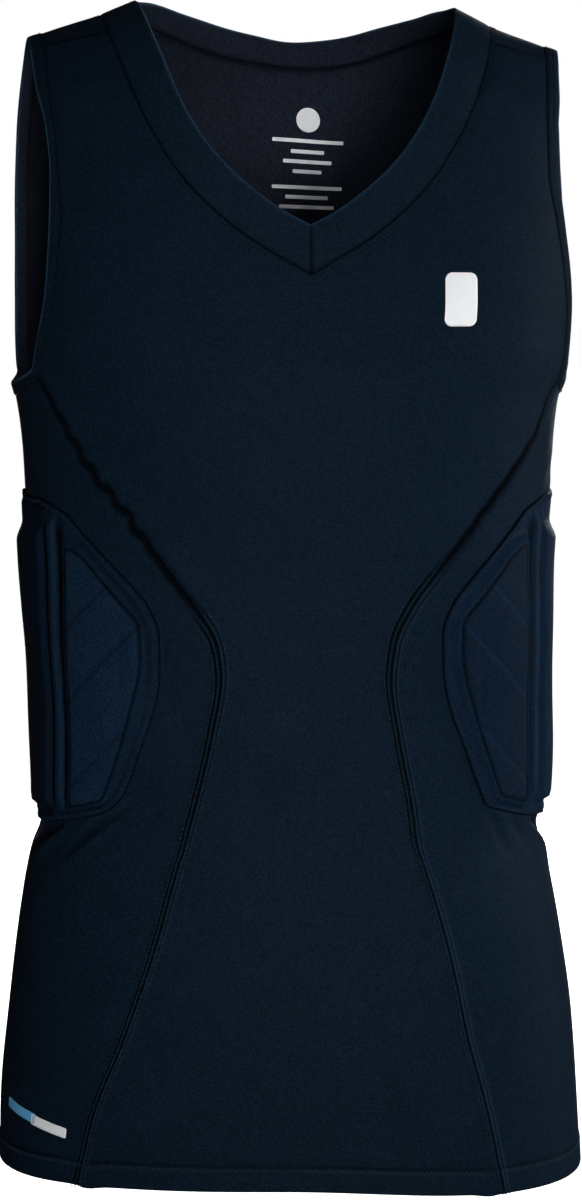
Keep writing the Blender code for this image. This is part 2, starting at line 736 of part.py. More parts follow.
def add_pad(name, places):
    """The foam pad: its inside follows the side panel, and its outside is moulded."""
    gap = SEAM_GAP
    inner = drawn_in(body(places)) + gap * outward(places)
    fine = refined(places, PAD_FINENESS)
    outer = body(fine) + (gap + pad_height(fine))[..., None] * outward(fine)
    rows, columns = fine.shape[:2]
    count = rows * columns
    faces = grid_faces(rows, columns, False, 0, False)
    faces += grid_faces(*places.shape[:2], False, count, True)
    outline = border(rows, columns)
    inline = [count + index for index in border(*places.shape[:2])]
    for step, (a, b) in enumerate(zip(inline, inline[1:] + inline[:1])):
        parts = range(step * PAD_FINENESS, (step + 1) * PAD_FINENESS + 1)
        run = [outline[part % len(outline)] for part in parts]
        faces.append((*reversed(run), a, b))
    points = np.concatenate([outer.reshape(-1, 3), inner.reshape(-1, 3)])
    return add_object(name, points, faces, PAD_COLOUR, PAD_ROUGHNESS)


def main():
    clear_scene()
    for name, outline in (("front", front_outline()), ("back", back_outline())):
        places, faces = filled(outline)
        add_panel(name, places, faces, list(range(len(outline))))
    for name, side in (("left", 1), ("right", -1)):
        places = side_places(side) * np.array([side, 1.0])
        grid = places.shape[:2]
        faces = grid_faces(*grid, False, 0, side < 0)
        add_panel("side_" + name, places.reshape(-1, 2), faces, border(*grid)[::side])
        add_pad("pad_" + name, pad_block(places))
        add_armband("armband_" + name, side)
    add_neckband()


main()
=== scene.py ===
"""Padded compression shirt, dressed: stretch knit panels, sewn seams, folded bands and pads.

The file is laid out as a Blender add-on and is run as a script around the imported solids. Every
piece is drawn on the same worn body form as the solids. A place on it has two numbers. "around"
is the angle in degrees from the middle of the front, past the side at 90 to the middle of the
back at 180. "down" is the distance along the cloth from the ridge of the shoulder, and it is
negative where a piece passes over the ridge. The front faces -Y, and left is the wearer's.
"""

import math

import bpy
import numpy as np
from bpy.props import FloatProperty, FloatVectorProperty, PointerProperty
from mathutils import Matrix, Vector
from mathutils.geometry import delaunay_2d_cdt


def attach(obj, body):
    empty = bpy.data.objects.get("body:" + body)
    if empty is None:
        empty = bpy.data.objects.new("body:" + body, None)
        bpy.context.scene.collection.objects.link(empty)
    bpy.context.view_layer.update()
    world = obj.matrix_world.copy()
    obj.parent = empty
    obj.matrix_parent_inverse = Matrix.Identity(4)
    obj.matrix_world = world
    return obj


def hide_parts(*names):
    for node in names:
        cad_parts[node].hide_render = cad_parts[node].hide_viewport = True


bl_info = {
    "name": "Padded compression shirt",
    "version": (1, 0, 0),
    "blender": (4, 5, 0),
    "location": "3D View > Sidebar > Shirt",
    "description": "Dresses the solids of a padded compression shirt in knit, thread and pads",
    "category": "Object",
}

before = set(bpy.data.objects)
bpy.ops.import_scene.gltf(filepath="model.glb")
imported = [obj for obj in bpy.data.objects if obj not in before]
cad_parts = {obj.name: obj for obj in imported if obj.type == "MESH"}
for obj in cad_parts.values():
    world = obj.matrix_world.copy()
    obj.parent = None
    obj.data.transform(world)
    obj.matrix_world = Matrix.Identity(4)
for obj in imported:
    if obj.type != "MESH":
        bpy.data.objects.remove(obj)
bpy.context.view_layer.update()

# The body form, in metres: the solids' own, but for the hem's small bump at the side seams
HEM_HEIGHT = -0.669
HEM_DEPTH = 0.014
HEM_DIP = 0.0040
HEM_DIP_WIDTH = 0.120
HEM_BUMP = 0.0015
HEM_BUMP_DEGREES = 2.4
HEM_SEAM_DOWN = 0.69
HEM_EXTRA = 0.0009
HEM_NEEDLES = (0.0122, 0.0143)
HEM_SHADOW = 0.0146
HEM_GLEAM = 0.0126
HEM_STITCH = 0.0124
SHOULDER_ROLL = 0.065
SHOULDER_REACH = 0.045
NECK_POINT_X = 0.093
NECK_POINT_HEIGHT = 0.030
SHOULDER_SLOPE = math.tan(math.radians(19.0))
RIDGE_SOFTNESS = 0.040
LEFT_DROP = 0.0055
DROP_START_X = 0.070
DROP_WIDTH = 0.070
DROP_REACH = 0.160
DROP_SHIFT_BEHIND = 0.090
DROP_SHIFT_DEPTH = 0.050
SEAM_GAP = 0.0003
PANEL_OVERLAP = 0.0001
BAND_RISE = 0.0004
NECK_EDGE_RISE = 0.0020
MEAN_DEGREE = 0.0024

# Settings of the drawing. The two probes measure slopes of the body form, in degrees around
# and in metres down.
HEIGHT_PASSES = 6
PROBE_AROUND = 0.05
PROBE_DOWN = 0.0001

# Level sections through the worn shirt, from above the shoulders to below the hem.
# Heights, widths and depths in metres, turn in degrees. A squareness of 2 is an ellipse.
SECTION_COLUMNS = ("height", "half_width", "front", "back", "squareness", "turn", "shift")
SECTIONS = (
    (0.060, 0.1700, 0.070, 0.060, 2.30, 0.0, 0.002),
    (0.000, 0.1715, 0.082, 0.076, 2.30, 0.0, 0.002),
    (-0.050, 0.1735, 0.094, 0.092, 2.35, 0.0, 0.002),
    (-0.100, 0.1735, 0.105, 0.103, 2.40, 0.0, 0.002),
    (-0.150, 0.1730, 0.113, 0.108, 2.40, 0.0, 0.002),
    (-0.190, 0.1720, 0.116, 0.107, 2.40, 0.0, -0.001),
    (-0.214, 0.1660, 0.115, 0.106, 2.40, 0.0, -0.003),
    (-0.250, 0.1615, 0.113, 0.103, 2.40, 0.0, -0.0025),
    (-0.300, 0.1585, 0.108, 0.098, 2.40, 0.0, -0.002),
    (-0.340, 0.1560, 0.105, 0.094, 2.50, 0.0, -0.002),
    (-0.400, 0.1540, 0.102, 0.088, 2.50, 0.0, -0.001),
    (-0.447, 0.1530, 0.100, 0.085, 2.50, -0.5, 0.000),
    (-0.470, 0.1520, 0.100, 0.087, 2.50, -1.0, -0.001),
    (-0.485, 0.1565, 0.101, 0.089, 2.50, -1.3, -0.0015),
    (-0.510, 0.1620, 0.103, 0.093, 2.60, -1.8, -0.0015),
    (-0.535, 0.1660, 0.104, 0.098, 2.70, -2.5, -0.0015),
    (-0.583, 0.1710, 0.107, 0.106, 2.80, -3.6, -0.0015),
    (-0.632, 0.1755, 0.109, 0.111, 2.90, -4.6, -0.001),
    (-0.680, 0.1780, 0.110, 0.113, 2.95, -5.5, -0.001),
)

# The seam between the front and a side panel, from the armhole down to the hem. The back has
# the same seam, mirrored.
SEAM_COLUMNS = ("down", "around")
SIDE_SEAM = (
    (0.246, 62.5),
    (0.264, 59.0),
    (0.284, 55.0),
    (0.324, 43.6),
    (0.373, 31.0),
    (0.411, 22.4),
    (0.432, 19.4),
    (0.455, 18.4),
    (0.485, 19.9),
    (0.560, 26.0),
    (0.650, 33.2),
    (0.732, 39.0),
)
ARMPIT_DOWN = SIDE_SEAM[0][0]

# The neckband. Station 0 is the point of the V, 1 the shoulder seam and 2 the middle of the
# back. Each row gives the seam to the panels and the folded edge next to the neck.
BAND_COLUMNS = ("station", "seam_around", "seam_down", "edge_around", "edge_down")
NECK = (
    (0.00, 0.0, 0.226, 0.0, 0.197),
    (0.18, 9.3, 0.206, 5.4, 0.187),
    (0.34, 17.2, 0.182, 12.0, 0.168),
    (0.52, 24.8, 0.151, 19.2, 0.139),
    (0.69, 31.3, 0.114, 24.7, 0.106),
    (0.86, 37.2, 0.073, 29.0, 0.071),
    (1.00, 39.9, 0.046, 31.4, 0.044),
    (1.17, 41.5, 0.000, 33.0, 0.000),
    (1.30, 37.0, -0.0190, 30.3, -0.0155),
    (1.42, 32.6, -0.0345, 27.0, -0.0270),
    (1.55, 28.0, -0.0485, 22.8, -0.0402),
    (1.68, 22.4, -0.0628, 17.8, -0.0522),
    (1.80, 16.0, -0.0762, 12.0, -0.0635),
    (1.90, 8.8, -0.0868, 6.2, -0.0714),
    (2.00, 0.0, -0.0925, 0.0, -0.0755),
)

# The armhole band. Station 0 is the shoulder seam, 1 the front seam, 2 the back seam, and 3 the
# shoulder seam again, reached from the back over the ridge.
ARMHOLE = (
    (0.00, 59.0, 0.037, 66.5, 0.037),
    (0.12, 57.4, 0.062, 64.2, 0.066),
    (0.30, 54.4, 0.092, 60.4, 0.097),
    (0.46, 52.9, 0.122, 58.4, 0.126),
    (0.62, 52.8, 0.152, 58.2, 0.155),
    (0.78, 54.2, 0.188, 60.0, 0.187),
    (0.91, 58.8, 0.224, 64.4, 0.220),
    (1.00, 62.5, 0.246, 69.0, 0.2385),
    (1.25, 76.0, 0.2525, 78.5, 0.2430),
    (1.50, 90.0, 0.2540, 90.0, 0.2440),
    (1.75, 104.0, 0.2525, 101.0, 0.2430),
    (2.00, 117.5, 0.246, 108.5, 0.2385),
    (2.17, 115.6, 0.200, 105.6, 0.198),
    (2.35, 114.2, 0.150, 104.2, 0.150),
    (2.53, 115.0, 0.100, 105.2, 0.100),
    (2.71, 117.4, 0.050, 108.4, 0.050),
    (2.88, 119.6, 0.000, 111.0, 0.000),
    (3.00, 121.0, -0.037, 113.5, -0.037),
)

# How far the left and the right side differ from the tables, in degrees around
SEAM_SHIFT_COLUMNS = ("down", "left", "right")
SEAM_SHIFT = (
    (0.246, 1.1, -3.0),
    (0.262, 1.4, -3.5),
    (0.282, 1.6, -3.7),
    (0.296, 1.2, -2.4),
    (0.320, 0.8, -1.5),
    (0.350, 0.4, -1.0),
    (0.394, 0.3, 0.0),
    (0.4375, 0.4, -1.0),
    (0.480, 0.5, -0.1),
    (0.530, 0.5, 0.7),
    (0.570, 0.9, -0.4),
    (0.610, 1.0, -1.5),
    (0.650, 0.5, -0.9),
    (0.690, 0.7, 0.6),
    (0.732, 0.5, 0.0),
)
ARM_SHIFT_COLUMNS = ("station", "left_seam", "left_edge", "right_seam", "right_edge")
ARM_SHIFT = (
    (0.00, 0.0, 0.0, 0.0, 0.0),
    (0.12, -0.3, -1.0, 0.4, -1.2),
    (0.30, -0.2, -1.2, 0.6, -2.8),
    (0.46, 0.9, 0.9, 0.4, -2.5),
    (0.62, 4.0, 3.3, -0.8, -2.3),
    (0.78, 6.6, 5.3, -0.8, -3.2),
    (0.91, 5.4, 4.2, -1.3, -4.1),
    (1.00, 1.1, 1.0, -3.0, -7.3),
    (1.25, 0.0, 0.0, -1.5, -3.5),
    (1.50, 0.0, 0.0, 0.0, 0.0),
    (3.00, 0.0, 0.0, 0.0, 0.0),
)

# The pad's front edge from its top corner to its foot, its top edge from that corner to the
# side, and its straight foot. It is the same behind the side as in front.
PAD_EDGE = (
    (0.367, 41.3),
    (0.3835, 36.2),
    (0.400, 32.2),
    (0.418, 30.2),
    (0.441, 30.4),
    (0.4635, 32.3),
    (0.481, 35.3),
    (0.498, 38.0),
    (0.514, 41.5),
)
TOP_COLUMNS = ("around", "down")
PAD_TOP = (
    (41.3, 0.367),
    (48.0, 0.347),
    (55.0, 0.329),
    (67.0, 0.317),
    (90.0, 0.312),
)
PAD_FOOT_DOWN = 0.514
PAD_CORNER_DOWN = 0.367
PAD_CORNER_RIGHT = 0.0105
PAD_CORNER_LEFT = 0.0035

# The outline of the pad's front plate, and how high its parts stand, in metres
FRONT_PLATE = (
    (53.2, 0.3500),
    (48.6, 0.3555),
    (41.3, 0.3785),
    (33.8, 0.4064),
    (33.8, 0.4350),
    (38.6, 0.4745),
    (44.0, 0.5060),
    (54.0, 0.5065),
)
PLATE_CORNER = 0.0045
RIB_SPAN = (57.3, 60.2)
SIDE_PLATE_START = 62.4
SIDE_PLATE_TOP = 0.331
SIDE_PLATE_FOOT = 0.5055
FLANGE_HEIGHT = 0.0015
PLATE_HEIGHT = 0.0064
RIB_HEIGHT = 0.0054
VALLEY_HEIGHT = 0.0024
PLATE_SLOPE = 0.0055
FLANGE_ROUNDING = 0.0012

# Slanting channels pressed into the front plate, and into the rear one behind it
CHANNEL_COLUMNS = ("start_around", "start_down", "end_around", "end_down", "depth", "width")
CHANNELS = (
    (41.0, 0.3800, 52.6, 0.3990, 0.0007, 0.0011),
    (34.4, 0.4085, 53.0, 0.4430, 0.0007, 0.0011),
    (39.0, 0.4680, 53.0, 0.4930, 0.0005, 0.0012),
    (38.2, 0.4100, 38.8, 0.4640, 0.0003, 0.0016),
)

# How much darker a channel's floor is, for each metre of its depth. On the left the channels
# face the light, and are lighter than the plate.
CHANNEL_TONE = {-1: 620, 1: -330}

# Soft troughs in the cloth, each with a ridge on both sides. Side 1 is the wearer's left. The
# bow is how far the middle of a crease stands off the straight line between its ends.
CREASE_COLUMNS = (
    "side", "start_around", "start_down", "end_around", "end_down", "depth", "width", "bow",
)
CREASES = (
    (-1, 42.0, 0.5150, 61.0, 0.5450, 0.0030, 0.0028, 0.0030),
    (-1, 37.0, 0.5130, 56.5, 0.5390, 0.0022, 0.0026, 0.0020),
    (-1, 30.5, 0.5170, 35.0, 0.5370, 0.0007, 0.0040, 0.0000),
    (-1, 57.5, 0.5150, 84.0, 0.5380, 0.0038, 0.0032, 0.0040),
    (-1, 66.0, 0.5150, 92.0, 0.5250, 0.0018, 0.0034, 0.0010),
    (-1, 50.0, 0.5180, 71.0, 0.5560, 0.0009, 0.0060, 0.0030),
    (1, 42.5, 0.5160, 52.5, 0.5460, 0.0011, 0.0036, 0.0020),
    (1, 50.0, 0.5170, 66.0, 0.5400, 0.0010, 0.0036, 0.0020),
    (1, 63.0, 0.5150, 88.0, 0.5290, 0.0032, 0.0036, 0.0030),
    (1, 70.0, 0.5160, 96.0, 0.5420, 0.0012, 0.0046, 0.0020),
    (-1, 138.0, 0.5150, 121.0, 0.5400, 0.0012, 0.0036, -0.0025),
    (-1, 120.0, 0.5150, 97.0, 0.5310, 0.0020, 0.0042, -0.0030),
    (1, 137.0, 0.5150, 118.0, 0.5450, 0.0014, 0.0038, -0.0030),
    (1, 121.0, 0.5150, 99.0, 0.5280, 0.0018, 0.0040, -0.0020),
    (-1, 66.0, 0.3120, 80.0, 0.2980, 0.0012, 0.0040, 0.0020),
    (1, 66.0, 0.3110, 82.0, 0.2960, 0.0010, 0.0038, 0.0020),
    (-1, 112.0, 0.3120, 98.0, 0.2960, 0.0010, 0.0040, 0.0020),
    (1, 114.0, 0.3120, 99.0, 0.2980, 0.0011, 0.0042, 0.0020),
    (1, 33.0, 0.0950, 41.5, 0.0640, 0.0010, 0.0050, 0.0020),
    (1, 41.0, 0.0830, 53.0, 0.0690, 0.0007, 0.0050, 0.0010),
    (-1, 44.0, 0.0800, 54.0, 0.0700, 0.0005, 0.0050, 0.0010),
    (-1, 55.0, 0.2320, 42.0, 0.2600, 0.0006, 0.0080, 0.0030),
    (1, 56.0, 0.2340, 44.0, 0.2580, 0.0006, 0.0080, 0.0030),
    (-1, 152.0, 0.0900, 134.0, 0.0760, 0.0008, 0.0070, 0.0020),
    (1, 148.0, 0.1000, 130.0, 0.0800, 0.0007, 0.0070, 0.0020),
    (1, 160.0, 0.4700, 172.0, 0.5080, 0.0009, 0.0110, 0.0030),
    (-1, 158.0, 0.4560, 176.0, 0.4900, 0.0010, 0.0120, -0.0030),
    (-1, 166.0, 0.5200, 178.0, 0.5450, 0.0007, 0.0110, 0.0020),
    (1, 170.0, 0.5450, 158.0, 0.5700, 0.0006, 0.0120, 0.0020),
)

# Broad, shallow waves of the whole cloth: direction in cycles per metre, start, and height
WAVE_COLUMNS = ("x", "y", "z", "phase", "height")
WAVES = (
    (5.1, 2.2, 6.3, 0.3, 0.00045),
    (-7.9, 3.1, 4.4, 1.9, 0.00035),
    (10.7, -4.9, 9.2, 4.2, 0.00022),
    (-3.3, 6.7, -13.1, 2.6, 0.00024),
)

# How the seam between the front and a side wanders where the cloth puckers
WANDER_LENGTH = 0.0165
WANDER_DEGREES = 0.55
WANDER_SPAN = (0.258, 0.372)
WANDER_SHARE = {-1: 1.0, 1: 0.35}

# Plain bars printed on the outside: middle, half the width, half the height, how round the
# corners are, and the slope of a bar by the hem, whose middle is given above the hem
PRINTS = (
    ("chest", "white", (29.5, 0.2203), 0.0105, 0.0158, 0.0045, None),
    ("hem_blue", "blue", (-56.6, 0.0357), 0.0110, 0.0028, 0.0008, 0.204),
    ("hem_white", "white", (-46.8, 0.0309), 0.0112, 0.0029, 0.0008, 0.204),
)
PRINT_LIFT = 0.0001

# A plain disc and bars printed inside the back of the neck: the angle of their middle, the
# disc's distance down and radius, and each bar's distance down and half its length
NECK_PRINT_AROUND = 174.5
NECK_DISC = (0.1210, 0.0078)
NECK_BARS = (
    (0.1345, 0.0235),
    (0.1415, 0.0110),
    (0.1480, 0.0160),
    (0.1545, 0.0095),
    (0.1650, 0.0230),
    (0.1715, 0.0140),
    (0.1780, 0.0180),
)

# Soft lights: place, what each points at, size in metres, power in watts, and how wide the
# beam spreads, in degrees
LIGHT_COLUMNS = ("name", "place", "aim", "size", "power", "spread")
LIGHTS = (
    ("front", (0.18, -2.54, -0.42), (0.0, 0.0, -0.38), 0.7, 2.25, 32.0),
    ("neck", (-1.10, -2.10, 0.45), (0.02, 0.06, -0.05), 0.3, 0.045, 11.0),
    ("right", (2.25, -0.90, 0.10), (0.0, 0.0, -0.36), 1.1, 8.5, 180.0),
    ("edge", (2.30, 0.20, 0.05), (0.1, 0.0, -0.30), 0.8, 33.0, 180.0),
    ("back", (0.90, 2.40, 0.20), (0.0, 0.0, -0.35), 1.2, 34.0, 180.0),
    ("back_low", (0.00, 2.60, -0.60), (0.0, 0.0, -0.35), 1.0, 16.0, 180.0),
)

# Where a side seam's groove turns into flat rows of cover thread, going down, for each side,
# and how far each row lies from the seam: the inner light row, the dark row, the outer light row
FLAT_FROM = {-1: 0.395, 1: 0.365}
FLAT_TO = {-1: 0.435, 1: 0.400}
INNER_ROW = 0.0016
DARK_ROW = 0.0028
OUTER_ROW = 0.0041

# Mesh steps in metres, counts of rows and columns, and half the floor's size
CLOTH_STEP = 0.0042
OUTLINE_STEP = 0.0030
RAILS = (0.0010, 0.0016, 0.0022, 0.0028, 0.0034, 0.0041, 0.0056)
HEM_RAILS = (0.0105, 0.0116, 0.0127, 0.0139, 0.0150, 0.0162)
HEM_STEPS = (0.0, 0.0015, 0.0035, 0.0060, 0.0085)
SIDE_PANEL_COLUMNS = 92
PAD_LENGTH = 0.175
PAD_STEP = 0.0012
FINE_REACH = 2.4
PAD_FINE_COLUMNS = 72
PAD_SIDE_COLUMNS = 32
EDGE_CROWDING = (0.0, 0.0004, 0.0009, 0.0015, 0.0024, 0.0034, 0.0046)
RIM_STEPS = 4
BAND_STEPS = 15
FOLD_STEPS = 7
NEAR_V = (0.0, 0.004, 0.008, 0.014, 0.022, 0.034)
PRINT_STEP = 0.0012
PRINT_DEPTH = 0.00022
WELD_DISTANCE = 1e-7
FLOOR_SIZE = 12.0

# How much longer a cut is than the cloth as it lies
LAY = 1.02


def column(table, names, name):
    """One named column of a table, as an array."""
    return np.array([row[names.index(name)] for row in table], float)


def smooth(at, knots, values):
    """The value at a place on the smooth curve through the knots, with no overshoot."""
    at = np.asarray(at, float)
    steps = np.diff(knots)
    slopes = np.diff(values) / steps
    tangents = np.concatenate([slopes[:1], np.zeros(len(slopes) - 1), slopes[-1:]])
    for place in range(1, len(slopes)):
        before, after = slopes[place - 1], slopes[place]
        if before * after > 0:
            tangents[place] = 2 * before * after / (before + after)
    span = np.clip(np.searchsorted(knots, at, side="right") - 1, 0, len(steps) - 1)
    width = steps[span]
    t = np.clip((at - knots[span]) / width, 0, 1)
    return (
        (1 + 2 * t) * (1 - t) ** 2 * values[span]
        + t * (1 - t) ** 2 * width * tangents[span]
        + t * t * (3 - 2 * t) * values[span + 1]
        - t * t * (1 - t) * width * tangents[span + 1]
    )


def look_up(table, names, at, name):
    """A named column's smooth value at a place, which is given in the table's first column."""
    return smooth(at, column(table, names, names[0]), column(table, names, name))


def curve(at, knots, values):
    """The value at a place on the natural cubic curve through the knots."""
    steps = np.diff(knots)
    slopes = np.diff(values) / steps
    size = len(knots)
    matrix, right = np.eye(size), np.zeros(size)
    for k in range(1, size - 1):
        matrix[k, k - 1 : k + 2] = steps[k - 1], 2 * (steps[k - 1] + steps[k]), steps[k]
        right[k] = 6 * (slopes[k] - slopes[k - 1])
    bend = np.linalg.solve(matrix, right)
    at = np.asarray(at, float)
    span = np.clip(np.searchsorted(knots, at, side="right") - 1, 0, size - 2)
    width = steps[span]
    ahead, past = knots[span + 1] - at, at - knots[span]
    return (
        (bend[span] * ahead**3 + bend[span + 1] * past**3) / (6 * width)
        + (values[span] / width - bend[span] * width / 6) * ahead
        + (values[span + 1] / width - bend[span + 1] * width / 6) * past
    )


def section(height, name):
    """One column of the sections, at a height."""
    heights = column(SECTIONS, SECTION_COLUMNS, "height")[::-1]
    return smooth(height, heights, column(SECTIONS, SECTION_COLUMNS, name)[::-1])


def ease(value):
    """0 below 0, 1 above 1, and a soft step between."""
    value = np.clip(value, 0, 1)
    return value * value * (3 - 2 * value)


def bell(value):
    """1 at 0, and fading to 0 on both sides."""
    return np.exp(-value * value)


def from_front(around):
    """An angle behind the side, as the angle that lies as far in front of it."""
    return np.where(around > 90, 180 - around, around)


def on_side(places, side):
    """Places drawn on the left, moved to a side: 1 is the wearer's left, -1 the right."""
    return places * np.array([side, 1.0])


def doubled(above_hem):
    """1 where the hem lies double, 0 above it, and a short soft step between."""
    return ease((HEM_DEPTH + 0.0012 - above_hem) / 0.0016)


def ridge_height(x):
    """Height of the shoulder ridge at a distance from the middle."""
    reach = np.sqrt(x * x + RIDGE_SOFTNESS**2) - math.hypot(NECK_POINT_X, RIDGE_SOFTNESS)
    return NECK_POINT_HEIGHT - SHOULDER_SLOPE * reach


def across(around, height):
    """Sideways and front-to-back share of a section's size, at an angle."""
    angle = np.radians(around)
    power = section(height, "squareness")
    sine, cosine = np.sin(angle), np.cos(angle)
    radius = (np.abs(sine) ** power + np.abs(cosine) ** power) ** (-1 / power)
    return radius * sine, radius * cosine


def left_drop(x, y):
    """How much lower the left shoulder hangs. Behind, the drop starts nearer the middle."""
    start = DROP_START_X - DROP_SHIFT_BEHIND * ease(y / DROP_SHIFT_DEPTH)
    return LEFT_DROP * ease((x - start) / DROP_WIDTH)


def body(places):
    """Points of the body form. The last axis of places is around and down."""
    around, down = places[..., 0], places[..., 1]
    turned = np.minimum(np.abs(down) / SHOULDER_ROLL, math.pi / 2)
    roll = np.sin(turned) * np.where(down < 0, -1.0, 1.0)
    straight = np.maximum(np.abs(down) - SHOULDER_ROLL * math.pi / 2, 0)
    drop = SHOULDER_ROLL * (1 - np.cos(turned)) + straight
    height = -np.abs(down)
    for _ in range(HEIGHT_PASSES):
        sideways, forward = across(around, height)
        x = section(height, "half_width") * sideways
        height = ridge_height(x) - drop
    forward = forward * roll
    depth = np.where(forward > 0, section(height, "front"), section(height, "back"))
    y = -depth * forward
    turn = np.radians(section(height, "turn"))
    moved_x = x * np.cos(turn) - y * np.sin(turn) + section(height, "shift")
    moved_y = x * np.sin(turn) + y * np.cos(turn)
    lowered = left_drop(moved_x, moved_y) * ease(1 + height / DROP_REACH)
    return np.stack([moved_x, moved_y, height - lowered], axis=-1)


def outward(places):
    """Unit normals of the body form, pointing away from the wearer."""
    steps = []
    for step in (np.array([PROBE_AROUND, 0.0]), np.array([0.0, PROBE_DOWN])):
        steps.append(body(places + step) - body(places - step))
    normal = np.cross(steps[1], steps[0])
    return normal / np.linalg.norm(normal, axis=-1, keepdims=True)


def degree_length(places):
    """Metres of cloth in one degree around, at each place."""
    step = np.array([0.5, 0.0])
    return np.linalg.norm(body(places + step) - body(places - step), axis=-1)


def hem_down(around):
    """Distance down the cloth to the hem, which dips a little on the left."""
    x = section(HEM_HEIGHT, "half_width") * across(around, HEM_HEIGHT)[0]
    height = HEM_HEIGHT - HEM_DIP * ease(x / HEM_DIP_WIDTH)
    turned = (np.asarray(around) + 180) % 360 - 180
    rear = np.abs(turned) > 90
    folded = from_front(np.abs(turned))
    seam = side_seam(np.full(folded.shape, HEM_SEAM_DOWN), np.where(turned < 0, -1, 1), rear)
    height = height - HEM_BUMP * bell((folded - seam) / HEM_BUMP_DEGREES)
    return ridge_height(x) - height + (math.pi / 2 - 1) * SHOULDER_ROLL


def side_seam(down, side, behind_side=False):
    """Angle of the side seam at a distance down the cloth, measured from the middle."""
    straight = look_up(SIDE_SEAM, SEAM_COLUMNS, down, "around")
    left = look_up(SEAM_SHIFT, SEAM_SHIFT_COLUMNS, down, "left")
    right = look_up(SEAM_SHIFT, SEAM_SHIFT_COLUMNS, down, "right")
    straight = straight + np.where(behind_side, 0.0, np.where(side < 0, right, left))
    low, high = WANDER_SPAN
    share = ease((down - low) / WANDER_LENGTH) * ease((high - down) / WANDER_LENGTH)
    amount = np.where(side < 0, WANDER_SHARE[-1], WANDER_SHARE[1]) * WANDER_DEGREES
    amount = np.where(behind_side, 0.5 * amount, amount)
    phase = 2 * np.pi * down / WANDER_LENGTH
    return straight + share * amount * (np.sin(phase) + 0.4 * np.sin(0.37 * phase + 1.0))


def canonical(places):
    """Places named from the side of the ridge that they are on: signed angle, and down."""
    around, down = places[..., 0], places[..., 1]
    around = np.where(down < 0, 180 - around, around)
    return (around + 180) % 360 - 180, np.abs(down)


def seam_distance(places):
    """Metres to the side seams, positive towards the side panels."""
    around, down = canonical(places)
    behind_side = np.abs(around) > 90
    folded = from_front(np.abs(around))
    degree = degree_length(places)
    side = np.where(around < 0, -1, 1)
    angle = side_seam(down, side, behind_side)
    rise = (side_seam(down + PROBE_DOWN, side, behind_side) - angle) / PROBE_DOWN * degree
    return (folded - angle) * degree / np.sqrt(1 + rise * rise)


def folds(places):
    """How far the cloth stands off the body form: seam grooves, creases and broad waves."""
    around, down = canonical(places)
    degree = degree_length(places)
    points = body(places)
    height = np.zeros(points.shape[:-1])
    for row in WAVES:
        wave = dict(zip(WAVE_COLUMNS, row))
        run = points @ np.array([wave["x"], wave["y"], wave["z"]])
        height += wave["height"] * np.sin(2 * np.pi * run + wave["phase"])
    away = seam_distance(places)
    below_armpit = ease((down - ARMPIT_DOWN + 0.004) / 0.010)
    height += below_armpit * seam_relief(away, np.where(around < 0, -1, 1), down)
    for row in CREASES:
        height += crease(dict(zip(CREASE_COLUMNS, row)), around, down, degree)
    from_ridge = ridge_distance(places, points)
    height += 0.0008 * bell(from_ridge / 0.0038) - 0.0006 * bell(from_ridge / 0.0012)
    above_hem = hem_down(around) - down
    height += HEM_EXTRA / 2 * doubled(above_hem)
    for needle in HEM_NEEDLES:
        height -= 0.00030 * bell((above_hem - needle) / 0.0007)
    return height


def flat_share(side, down):
    """How far a side seam has turned from a groove into flat rows."""
    low = np.where(side < 0, FLAT_FROM[-1], FLAT_FROM[1])
    high = np.where(side < 0, FLAT_TO[-1], FLAT_TO[1])
    return ease((down - low) / (high - low))


def seam_relief(away, side, down):
    """Height of a sewn seam: one deep groove above, and rows of cover thread lower down."""
    flat = flat_share(side, down)
    off = np.abs(away)
    groove = -0.0014 * bell(away / 0.0021) + 0.0005 * bell((off - 0.0054) / 0.0022)
    rows = -0.0006 * bell(away / 0.0009)
    rows += 0.0005 * bell((off - INNER_ROW) / 0.0006)
    rows -= 0.0005 * bell((off - DARK_ROW) / 0.0007)
    rows += 0.0003 * bell((off - 0.0040) / 0.0007)
    return groove * (1 - flat) + rows * flat


def seam_tone(away, side, down):
    """Dark thread and shadow along a sewn seam, with lighter thread between the rows.

    The rows are darker towards the wearer's right, away from the light.
    """
    flat = flat_share(side, down)
    off = np.abs(away)
    toward = -side * away
    near_hem = ease((down - 0.51) / 0.11)
    groove = 0.96 * bell(off / 0.0025)
    dark = 0.75 * bell(off / 0.0008) + 0.96 * bell((toward - DARK_ROW) / 0.0009)
    dark += 0.50 * bell((toward + DARK_ROW) / 0.0007)
    light = 0.55 * bell((off - INNER_ROW) / 0.0005) + 0.35 * bell((toward + OUTER_ROW) / 0.0007)
    light += 0.25 * bell((toward + INNER_ROW) / 0.0006)
    # Near the hem, the rows of the seam on the wearer's left are painted lighter than those on the
    # right, as the light falls.
    dark = np.clip(dark * (1.12 - np.where(side < 0, 0.02, 0.80) * near_hem), 0, 0.97)
    rows = dark - light * (1 + np.where(side < 0, 0.6, 1.6) * near_hem)
    return groove * (1 - flat) + rows * flat


